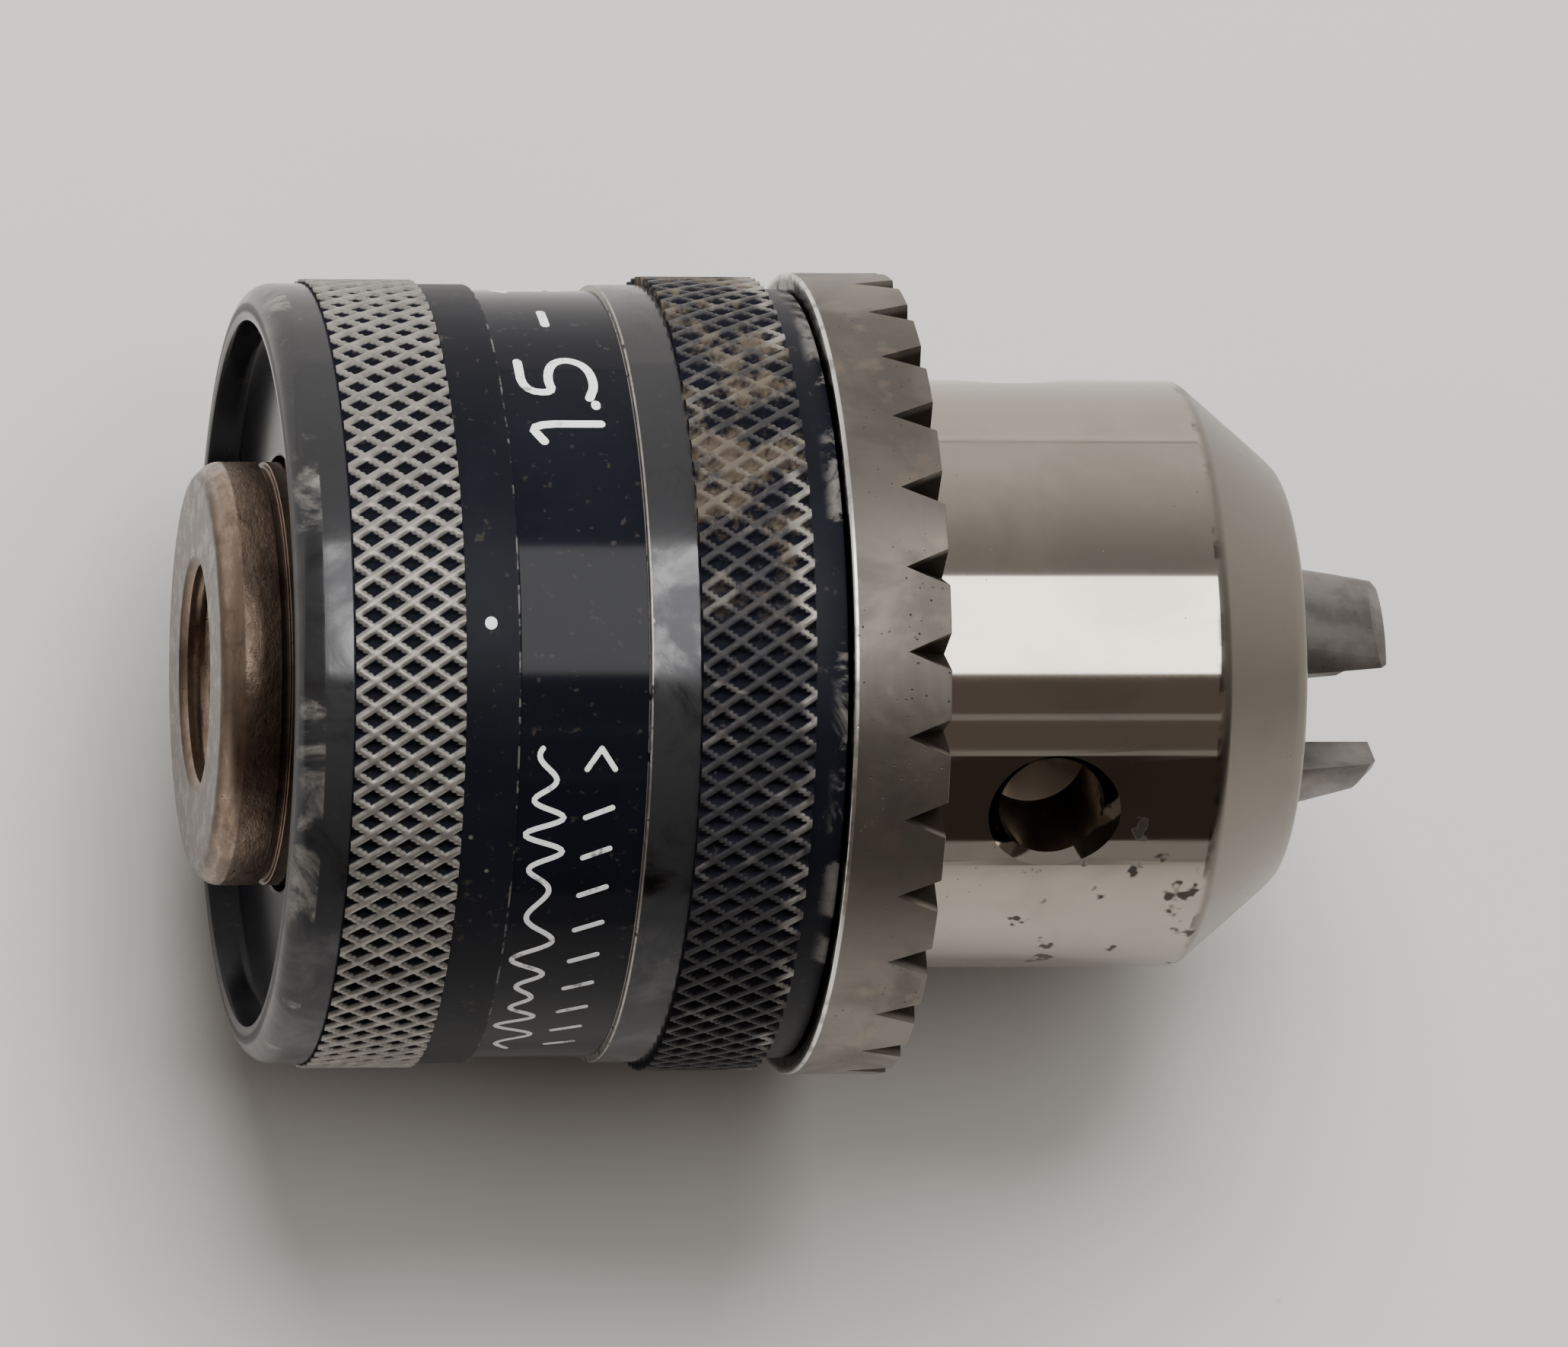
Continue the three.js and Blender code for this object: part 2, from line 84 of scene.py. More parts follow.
# ---------------------------------------------------------------- settings


def length(name, description, millimetres):
    """A length that the user can change, given in millimetres."""
    return FloatProperty(
        name=name, description=description, default=millimetres * MM, unit="LENGTH", precision=5
    )


def angle(name, description, degrees):
    """An angle that the user can change, given in degrees."""
    return FloatProperty(
        name=name, description=description, default=math.radians(degrees), subtype="ANGLE"
    )


def colour(name, description, red, green, blue):
    """A linear colour that the user can change."""
    return FloatVectorProperty(
        name=name, description=description, default=(red, green, blue), subtype="COLOR",
        min=0, max=1,
    )


class ConeSettings(bpy.types.PropertyGroup):
    """The slanting cone that the jaws slide on and the nut's thread follows."""

    slant: angle("Slant", "Angle between a jaw and the chuck's axis", 14.072188)
    mouth: length("Mouth radius", "From the axis to the jaws' backs at the front face", 8.0)
    pitch: length("Pitch", "Travel of a jaw along itself for one turn of the sleeve", 2.5)
    thread_depth: length("Thread depth", "Depth of the thread on the jaws' backs", 1.2)
    ridge_crest: length("Ridge crest", "Half the width of the nut's ridge at its crest", 0.25)
    ridge_root: length("Ridge root", "Half the width of the nut's ridge at its root", 0.6)
    fit: length("Fit", "Running clearance", 0.3)


class BodySettings(bpy.types.PropertyGroup):
    """The steel body."""

    boss_radius: length("Boss radius", "Radius of the rear hub", 12.2)
    boss_length: length("Boss length", "Length of the hub behind the sleeve's wall", 4.8)
    boss_lip: length("Boss lip", "Rounding of the hub's rear edge", 0.9)
    groove_width: length("Groove width", "Width of the groove round the hub", 0.5)
    groove_depth: length("Groove depth", "Depth of the groove round the hub", 0.35)
    collar: length("Collar", "Strip between the hub's groove and the sleeve", 0.85)
    thread_root: length("Socket thread root", "Largest radius of the spindle socket's thread", 6.35)
    thread_crest: length("Socket thread crest", "Smallest radius of that thread", 5.85)
    thread_pitch: length("Socket thread pitch", "Pitch of the spindle thread", 1.27)
    socket_depth: length("Socket depth", "Depth of the spindle socket", 17.0)
    web: length("Web", "Wall between the spindle socket and the tool bore", 3.0)
    screw_hole: length("Screw hole radius", "Hole for the spindle's retaining screw", 3.4)
    tool_bore: length("Tool bore radius", "Bore that the drill's shank enters", 6.7)
    nose_radius: length("Nose radius", "Radius of the straight part of the nose", 17.1)
    cone_length: length("Nose cone", "Length of the nose's cone", 5.8)
    face_radius: length("Face radius", "Radius of the front face", 12.1)
    rim: length("Face rim", "Rounding round the front face", 0.6)
    register_step: length("Register step", "How far the race's seat stands above the nose", 0.2)
    key_hole: length("Key hole radius", "Radius of the key's pilot holes", 3.05)
    key_reach: length("Key hole place", "From the gear teeth's front to the pilot holes", 7.5)
    key_wall: length("Key hole wall", "Between the pilot holes and the tool bore", 2.0)
    key_chamfer: length("Key hole chamfer", "Chamfer round the pilot holes", 0.7)
    sides: IntProperty(name="Sides", description="Facets round the body", default=180, min=12)


class JawSettings(bpy.types.PropertyGroup):
    """The three jaws."""

    radius: length("Jaw radius", "Radius of a jaw's round back", 4.4)
    grip: length("Grip radius", "From the axis to the gripping lands", 4.0)
    grip_open: length("Open grip", "The same with the jaws fully open", 6.5)
    land: length("Grip land", "Width of a gripping land", 1.2)
    flank: angle("Flank angle", "From a jaw's middle plane to each flank", 60)
    rounding: length("Rounding", "Rounding of a jaw's edges", 0.35)
    tip_slope: length("Tip bevel", "Bevel at the back of a tip", 0.8)
    first: angle("First jaw", "Place of the first jaw round the axis", 20)


class SleeveSettings(bpy.types.PropertyGroup):
    """The knurled sleeve."""

    wall: length("Wall", "From the plain lands to the bore", 1.5)
    rear_wall: length("Rear wall", "Thickness of the rear wall", 1.8)
    rim_wall: length("Rim wall", "From inside the rear rim to the plain lands", 2.2)
    edge: length("Rear edge", "Rounding of the rear rim", 1.5)
    rear_start: length("Rear knurl start", "From the sleeve's rear to its rear knurl", 3.2)
    rear_length: length("Rear knurl length", "Length of the rear knurl", 6.25)
    rear_rise: length("Rear knurl rise", "How far the rear knurl stands proud", 0.25)
    band_start: length("Mark band start", "From the sleeve's rear to the band for marks", 12.6)
    band_length: length("Mark band length", "Length of the band for marks", 7.4)
    band_depth: length("Mark band depth", "How far the band is sunk", 0.35)
    front_start: length("Front knurl start", "From the sleeve's rear to its front knurl", 22.9)
    front_length: length("Front knurl length", "Length of the front knurl", 6.5)
    front_rise: length("Front knurl rise", "How far the front knurl stands proud", 0.5)
    step: length("Front step", "How far the front end is below the lands", 0.2)
    cells: IntProperty(name="Knurl cells", description="Pits round the sleeve", default=96, min=8)
    cell_length: length("Knurl cell", "Length of a knurl pit's pattern along the axis", 2.18)
    cell_depth: length("Knurl depth", "Depth of the knurl's pits", 0.42)
    facets: IntProperty(name="Facets", description="Facets for each knurl cell", default=8, min=2)


class MarkSettings(bpy.types.PropertyGroup):
    """The white marks on the sleeve."""

    stroke: length("Stroke", "Width of a marked line", 0.52)
    film: length("Film", "Thickness of the white film", 0.03)
    height: length("Numeral height", "Height of the numerals", 4.2)
    spread: FloatProperty(name="Numeral spread", description="Width for height", default=1.5)
    margin: length("Numeral margin", "From the numerals' feet to the band's front end", 2.0)
    start: angle("Start", "Where the numerals start round the axis", 22)
    wave_start: angle("Wave start", "Where the wavy line starts round the axis", -88)
    wave_end: angle("Wave end", "Where the wavy line ends round the axis", -23)
    wave_length: length("Wave length", "Length of one wave", 2.7)
    wave_swing: length("Wave swing", "Height of a wave from its middle", 1.15)
    wave_place: length("Wave place", "From the band's rear end to the wavy line", 1.7)
    dashes: IntProperty(name="Dashes", description="Dashes beside the wavy line", default=9, min=1)
    dash: length("Dash", "Length of a dash", 1.5)
    dash_place: length("Dash place", "From the band's rear end to the dashes", 4.7)
    dot: length("Dot radius", "Radius of the index dot", 0.35)
    dot_place: length("Dot place", "From the sleeve's rear to the index dot", 10.9)
    dot_angle: angle("Dot angle", "Place of the dot round the axis", -4.8)


class GearSettings(bpy.types.PropertyGroup):
    """The bevel-toothed key ring."""

    width: length("Width", "Width of the toothed ring", 5.6)
    lip: length("Lip", "Thickness of the front wall", 1.4)
    spigot_wall: length("Spigot wall", "Wall of the spigot inside the sleeve", 1.15)
    teeth: IntProperty(name="Teeth", description="Number of teeth", default=30, min=6)
    valley_length: length("Valley length", "Length of a tooth gap along the axis", 2.5)
    valley_depth: length("Valley depth", "Depth of a tooth gap at the front face", 2.5)
    valley_width: length("Valley width", "Width of a tooth gap at the front edge", 2.2)
    rounding: length("Rounding", "Rounding of the ring's edges", 0.15)
    first: angle("First valley", "Place of the first tooth gap round the axis", 3)


class RaceSettings(bpy.types.PropertyGroup):
    """The thrust race behind the nut."""

    ball: length("Ball radius", "Radius of a thrust ball", 1.0)
    track: length("Track depth", "Depth of the washers' ball tracks", 0.12)
    pocket_gap: length("Pocket gap", "Clearance round a ball in the cage", 0.15)
    balls: IntProperty(name="Balls", description="Number of balls", default=24, min=3)
    split: length("Nut split", "Gap between the nut's halves", 0.4)
    split_angle: angle("Split angle", "Where the nut's first half points", 35)


class FinishSettings(bpy.types.PropertyGroup):
    """Base colours of the finishes."""

    nickel: colour("Nose steel", "Satin steel of the nose", 0.38, 0.345, 0.30)
    patina: colour("Hub patina", "Brown patina on the rear hub", 0.27, 0.20, 0.155)
    black: colour("Black oxide", "Glossy black of the sleeve", 0.0045, 0.005, 0.008)
    polish: colour("Polished black", "Black oxide that hands have polished", 0.075, 0.075, 0.078)
    worn: colour("Worn steel", "Bare steel where the black is worn off", 0.47, 0.445, 0.41)
    gear: colour("Gear steel", "Bare steel of the toothed ring", 0.22, 0.20, 0.178)
    jaw: colour("Jaw steel", "Hardened steel of the jaws", 0.23, 0.215, 0.205)
    nut: colour("Nut steel", "Oiled steel of the nut", 0.25, 0.24, 0.23)
    race: colour("Bearing steel", "Polished steel of the race", 0.66, 0.66, 0.64)
    brass: colour("Brass", "Brass of the ball cage", 0.62, 0.42, 0.17)
    mark: colour("Mark white", "White of the marks", 0.80, 0.81, 0.82)
    # This colour is real dirt and also painted shade: on the hub's rear face, inside the body's
    # holes and in the gear's tooth gaps.
    grime_and_shade: colour("Grime", "Dirt in corners and pits", 0.075, 0.060, 0.045)
    table: colour("Table", "Pale top that the chuck lies on", 0.60, 0.585, 0.565)


class StageSettings(bpy.types.PropertyGroup):
    """Camera and light."""

    azimuth: angle("Azimuth", "Turn of the camera round the vertical", -40.7)
    elevation: angle("Elevation", "Height of the camera above the table", 74.3)
    distance: length("Distance", "From the camera to the chuck", 787)
    span: length("Span", "Width of the view at the chuck", 91)
    panel_height: length("Panel height", "Height of the ceiling panel above the chuck", 1500)
    panel_low: angle("Panel near edge", "Where the panel starts, as seen from the chuck", -12)
    panel_high: angle("Panel far edge", "Where the panel ends, as seen from the chuck", 26)
    panel_long: length("Panel length", "Length of the panel along the chuck", 420)
    panel_shift: length("Panel shift", "Place of the panel along the chuck", 300)
    panel_power: FloatProperty(name="Panel power", description="Watts of the panel", default=9)
    fill_power: FloatProperty(name="Fill power", description="Watts of the soft fill", default=42)


# ---------------------------------------------------------------- turned and cut solids


def place_object(name, data):
    """Adds an object to the scene."""
    made = bpy.data.objects.new(name, data)
    bpy.context.scene.collection.objects.link(made)
    return made


def from_form(name, form):
    """An object made from a bmesh, which is used up."""
    mesh = bpy.data.meshes.new(name)
    form.to_mesh(mesh)
    form.free()
    return place_object(name, mesh)


def new_piece(name, points, faces):
    """An object with a mesh of its own, its faces pointing out."""
    mesh = bpy.data.meshes.new(name)
    mesh.from_pydata(np.asarray(points).reshape(-1, 3).tolist(), [], faces)
    mesh.validate()
    form = bmesh.new()
    form.from_mesh(mesh)
    bmesh.ops.recalc_face_normals(form, faces=form.faces)
    form.to_mesh(mesh)
    form.free()
    return place_object(name, mesh)


def grid_faces(rows, columns, wrap_rows, wrap_columns):
    """Four-sided faces over rows of points, closing on themselves where asked."""
    faces = []
    for i in range(rows if wrap_rows else rows - 1):
        below, above = i * columns, (i + 1) % rows * columns
        for j in range(columns if wrap_columns else columns - 1):
            k = (j + 1) % columns
            faces.append((below + j, below + k, above + k, above + j))
    return faces


def tube_faces(rows, columns):
    """Faces of a tube of rings with both of its ends closed."""
    last = (rows - 1) * columns
    ends = [tuple(range(columns)), tuple(range(last, last + columns))]
    return grid_faces(rows, columns, False, True) + ends


def shifted(faces, base):
    """Faces with their points counted on from a base."""
    return [tuple(base + k for k in face) for face in faces]


def outline(corners, arc=4):
    """A closed profile with its corners rounded.

    A corner is (place, radius), with the size of its rounding after them and then, where the line
    that follows it needs more points, the step between those points.
    """
    corners = [tuple(c) + (0.0,) * (3 - len(c)) for c in corners]
    profile = []
    for i, corner in enumerate(corners):
        here = Vector(corner[:2])
        before, after = Vector(corners[i - 1][:2]), Vector(corners[(i + 1) % len(corners)][:2])
        back, ahead = before - here, after - here
        reach = min(corner[2], back.length * 0.45, ahead.length * 0.45)
        if reach > 0:
            start, end = here + back.normalized() * reach, here + ahead.normalized() * reach
            for k in range(arc + 1):
                t = k / arc
                profile.append(start * (1 - t) ** 2 + here * 2 * t * (1 - t) + end * t * t)
        else:
            profile.append(here)
        if len(corner) > 3:
            count = max(1, round((after - profile[-1]).length / corner[3]))
            first = profile[-1]
            profile += [first.lerp(after, k / count) for k in range(1, count)]
    return np.array([(p.x, p.y) for p in profile])


def turned(name, profile, sides, relief=None):
    """A solid turned about the chuck's axis. relief(place, radius, angle) shifts the radius."""
    turns = np.arange(sides) * TURN / sides
    place = np.repeat(profile[:, :1], sides, axis=1)
    radius = np.repeat(profile[:, 1:], sides, axis=1)
    around = np.repeat(turns[None, :], len(profile), axis=0)
    if relief:
        radius = radius + relief(place, radius, around)
    points = np.stack([place, radius * np.sin(around), radius * np.cos(around)], axis=-1)
    return new_piece(name, points, grid_faces(len(profile), sides, True, True))


def pin(name, centre, way, radius, reach, sides=64):
    """A round bar centred on a point, lying along a way."""
    form = bmesh.new()
    bmesh.ops.create_cone(
        form, cap_ends=True, segments=sides, radius1=radius, radius2=radius, depth=reach
    )
    piece = from_form(name, form)
    turn = Vector(way).to_track_quat("Z", "Y").to_matrix().to_4x4()
    piece.data.transform(Matrix.Translation(centre) @ turn)
    return piece


def bake_shape(piece):
    """Turns a piece's modifiers into its mesh."""
    seen = piece.evaluated_get(bpy.context.evaluated_depsgraph_get())
    mesh = bpy.data.meshes.new_from_object(seen)
    piece.modifiers.clear()
    old = piece.data
    piece.data = mesh
    bpy.data.meshes.remove(old)


def carve(piece, cutters, operation="DIFFERENCE"):
    """Cuts, joins or trims a piece with others, which are used up."""
    for cutter in cutters:
        modifier = piece.modifiers.new(cutter.name, "BOOLEAN")
        modifier.operation = operation
        modifier.solver = "EXACT"
        modifier.object = cutter
    bake_shape(piece)
    for cutter in cutters:
        bpy.data.objects.remove(cutter)


def round_edges(piece, width, segments, limit):
    """Rounds every edge that is sharper than the limit, in degrees."""
    modifier = piece.modifiers.new("rounding", "BEVEL")
    modifier.width = width
    modifier.segments = segments
    modifier.limit_method = "ANGLE"
    modifier.angle_limit = math.radians(limit)
    bake_shape(piece)


def smooth(piece, limit=32):
    """Smooth shading that keeps edges sharper than the limit, in degrees, crisp."""
    piece.data.shade_smooth()
    piece.data.set_sharp_from_angle(angle=math.radians(limit))
    weights = piece.modifiers.new("even shading", "WEIGHTED_NORMAL")
    weights.keep_sharp = True


def fit_out(piece, body, slot, finish, *nodes):
    """Gives a piece its finish, the body it moves with and the nodes it stands for."""
    piece.data.materials.clear()
    piece.data.materials.append(finish)
    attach(piece, body)
    if nodes:
        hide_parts(*nodes)


def direction(turn):
    """The unit vector that points away from the axis at an angle round it."""
    return Vector((0, math.sin(turn), math.cos(turn)))


# ---------------------------------------------------------------- finishes


class Graph:
    """Builds a tree of shader nodes."""

    def __init__(self, tree):
        self.tree = tree
        tree.nodes.clear()

    def node(self, kind, settings=(), **inputs):
        """Adds a node; an input is a number, a colour or another node's output."""
        made = self.tree.nodes.new(kind)
        for key, value in dict(settings).items():
            setattr(made, key, value)
        for key, value in inputs.items():
            self.feed(made.inputs[key.replace("_", " ")], value)
        return made

    def feed(self, socket, value):
        """Links an output to a socket, or sets the socket's own value."""
        if isinstance(value, bpy.types.NodeSocket):
            self.tree.links.new(value, socket)
        elif isinstance(value, (int, float)):
            socket.default_value = value
        else:
            value = tuple(value)
            wanted = len(socket.default_value)
            socket.default_value = value + (1.0,) * (wanted - len(value))

    def math(self, operation, a, b=0.0, clamp=False):
        made = self.tree.nodes.new("ShaderNodeMath")
        made.operation = operation
        made.use_clamp = clamp
        self.feed(made.inputs[0], a)
        self.feed(made.inputs[1], b)
        return made.outputs[0]

    def fold(self, operation, values):
        total = values[0]
        for value in values[1:]:
            total = self.math(operation, total, value)
        return total

    def add(self, *values):
        return self.fold("ADD", values)

    def times(self, *values):
        return self.fold("MULTIPLY", values)

    def most(self, *values):
        return self.fold("MAXIMUM", values)

    def without(self, value):
        return self.math("SUBTRACT", 1.0, value, clamp=True)

    def ramp(self, value, low, high, start=0.0, end=1.0):
        """Goes smoothly from start to end as the value goes from low to high."""
        made = self.node("ShaderNodeMapRange", {"interpolation_type": "SMOOTHSTEP"}, Value=value)
        for key, number in (("From Min", low), ("From Max", high), ("To Min", start),
                            ("To Max", end)):
            made.inputs[key].default_value = number
        return made.outputs["Result"]

    def within(self, value, low, high, soft):
        """1 between low and high, falling to 0 over the soft distance outside them."""
        return self.times(
            self.ramp(value, low - soft, low), self.ramp(value, high, high + soft, 1.0, 0.0)
        )

    def mix(self, kind, inputs, values, output):
        made = self.node("ShaderNodeMix", {"data_type": kind})
        for place, value in zip(inputs, values):
            self.feed(made.inputs[place], value)
        return made.outputs[output]

    def blend(self, factor, a, b):
        """Goes from value a to value b."""
        return self.mix("FLOAT", (0, 2, 3), (factor, a, b), 0)

    def tint(self, factor, a, b):
        """Goes from colour a to colour b."""
        return self.mix("RGBA", (0, 6, 7), (factor, a, b), 2)


class Finish(Graph):
    """Builds a material in the piece's own coordinates, in metres."""

    def __init__(self, name):
        self.material = bpy.data.materials.new(name)
        self.material.use_nodes = True
        super().__init__(self.material.node_tree)
        self.own = self.node("ShaderNodeTexCoord").outputs["Object"]
        parts = self.node("ShaderNodeSeparateXYZ", Vector=self.own).outputs
        self.x, y, z = parts["X"], parts["Y"], parts["Z"]
        self.radius = self.math("SQRT", self.add(self.times(y, y), self.times(z, z)))
        self.turn = self.math("ARCTAN2", y, z)

    def noise(self, scale, detail=3.0, rough=0.55, warp=0.0, where=None):
        made = self.node(
            "ShaderNodeTexNoise", Vector=where or self.own, Scale=scale, Detail=detail,
            Roughness=rough, Distortion=warp,
        )
        return made.outputs["Fac"]

    def streaks(self, along, across, detail=2.0, rough=0.55):
        """Noise with its own scale along the chuck's axis and its own across it."""
        made = self.node("ShaderNodeVectorMath", {"operation": "MULTIPLY"}, Vector=self.own)
        made.inputs[1].default_value = (along, across, across)
        return self.noise(1.0, detail, rough, where=made.outputs["Vector"])

    def pores(self, scale, rim, core, patches, low, high):
        """Small pits, fading from core to rim, where the patches' noise is above low to high."""
        made = self.node("ShaderNodeTexVoronoi", Vector=self.own, Scale=scale, Randomness=1.0)
        pits = self.ramp(made.outputs["Distance"], rim, core)
        return self.times(pits, self.ramp(patches, low, high))

    def mottle(self, cloud, low, high, tone, amount):
        """A colour that is darker where the cloud is above low to high."""
        return self.tint(self.ramp(cloud, low, high), tone, shade(tone, amount))

    def bump(self, height, depth, over=None):
        """Raised and sunk detail, of a depth in metres."""
        made = self.node("ShaderNodeBump", Height=height, Distance=depth, Strength=1.0)
        if over:
            self.feed(made.inputs["Normal"], over)
        return made.outputs["Normal"]

    def surface(self, colour, metallic, roughness, normal=None, specular=0.5):
        shader = self.node(
            "ShaderNodeBsdfPrincipled", Base_Color=colour, Metallic=metallic, Roughness=roughness
        )
        shader.inputs["Specular IOR Level"].default_value = specular
        if normal:
            self.feed(shader.inputs["Normal"], normal)
        self.node("ShaderNodeOutputMaterial", Surface=shader.outputs["BSDF"])
        return self.material


def shade(rgb, amount):
    """A colour made lighter or darker."""
    return tuple(min(1.0, c * amount) for c in rgb)


def nose_and_hub_steel(tones, body):
    """Satin steel with turning marks, scuffs, and a brown pitted patina on the hub and in holes,
    with painted shade on the hub's rear face, inside the holes and on the nose cone.
    """
    f = Finish("satin_body_steel")
    nose_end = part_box("chuck_body")[1].x
    shoulder_place = nose_end - body.cone_length
    rings = f.streaks(9000, 60)
    cloud = f.noise(95, detail=4.0, rough=0.6, warp=0.4)
    smear = f.streaks(60, 420, detail=3.0)
    hub = f.ramp(f.x, body.boss_length - 0.3 * MM, body.boss_length + 0.3 * MM, 1.0, 0.0)
    outside = f.within(f.radius, body.nose_radius - 0.25 * MM, body.nose_radius + MM, 0.2 * MM)
    inside = f.ramp(f.radius, body.face_radius - 4.5 * MM, body.nose_radius - MM, 1.0, 0.0)
    front = f.ramp(f.x, shoulder_place - 0.5 * MM, shoulder_place)
    sunk = f.times(f.without(front), f.without(hub), f.without(outside))

    stain = f.ramp(cloud, 0.46, 0.66)
    steel = f.tint(f.times(stain, 0.35), tones.nickel, shade(tones.nickel, 0.62))
    steel = f.tint(f.times(f.ramp(smear, 0.55, 0.75), 0.25), steel, shade(tones.nickel, 0.8))
    speckled = f.pores(1400, 0.10, 0.02, f.noise(160, detail=2.0), 0.52, 0.60)
    steel = f.tint(f.times(speckled, 0.8), steel, shade(tones.nickel, 0.18))

    scuff = f.times(
        f.ramp(f.noise(330, detail=3.0, rough=0.7), 0.60, 0.66),
        f.within(f.turn, -1.6, -0.75, 0.15),
        f.within(f.x, nose_end - 17 * MM, shoulder_place - 0.3 * MM, 0.4 * MM),
    )
    shoulder = f.times(
        f.within(f.x, shoulder_place - 0.45 * MM, shoulder_place + 0.1 * MM, 0.12 * MM),
        f.ramp(f.noise(420, detail=3.0), 0.50, 0.60),
    )
    steel = f.tint(f.times(f.most(scuff, f.times(shoulder, 0.8)), 0.85), steel,
                   shade(tones.nickel, 0.14))

    grain = f.streaks(2600, 700, detail=4.0, rough=0.7)
    rubbed = f.times(
        f.ramp(grain, 0.47, 0.62),
        f.ramp(f.x, body.boss_length, 0.2 * MM, 0.55, 1.0),
    )
    patina = f.mottle(f.noise(260, detail=5.0, rough=0.7), 0.44, 0.66, tones.patina, 0.6)
    patina = f.tint(f.times(rubbed, 0.30), patina, shade(tones.patina, 1.7))
    pores = f.pores(1900, 0.15, 0.05, f.noise(240), 0.42, 0.56)
    patina = f.tint(f.times(pores, 0.8), patina, shade(tones.grime_and_shade, 0.6))
    # Painted shade: the hub's rear face is darkened towards the grime colour.
    end = f.ramp(f.x, 0.02 * MM, 0.5 * MM, 1.0, 0.0)
    patina = f.tint(f.times(end, 0.85), patina, shade(tones.grime_and_shade, 0.7))
    tone = f.tint(hub, steel, patina)
    tone = f.tint(f.times(sunk, inside, 0.5), tone, shade(tones.patina, 0.9))
    # Painted shade: points sunk below the nose's surface, in the holes and recesses, are darkened
    # towards the grime colour.
    deep = f.times(f.without(hub), f.ramp(f.radius, body.nose_radius - 3 * MM,
                                          body.nose_radius - 0.5 * MM, 0.75, 0.0))
    deep = f.times(deep, f.without(front))
    tone = f.tint(deep, tone, shade(tones.grime_and_shade, 2.2))
    # Painted shade: the nose cone and front face are darkened.
    tone = f.tint(f.times(front, 0.9), tone, shade(tones.nickel, 0.5))

    rough = f.add(0.035, f.times(cloud, 0.05), f.times(f.ramp(smear, 0.5, 0.8), 0.06))
    rough = f.blend(f.most(speckled, scuff), rough, 0.6)
    rough = f.blend(front, rough, f.add(rough, 0.24))
    rough = f.blend(deep, rough, 0.34)
    rough = f.blend(hub, rough, f.blend(rubbed, 0.36, 0.26))
    relief = f.add(f.times(rings, 0.15), f.times(speckled, -1.5))
    normal = f.bump(relief, 0.003 * MM)
    groove = body.boss_length - body.collar - body.groove_width
    pitted = f.times(hub, f.within(f.x, 1.4 * MM, groove, 0.3 * MM))
    pitting = f.streaks(1500, 900, detail=5.0, rough=0.75)
    normal = f.bump(f.times(pitted, pitting), 0.05 * MM, over=normal)
    return f.surface(tone, 1.0, rough, normal)


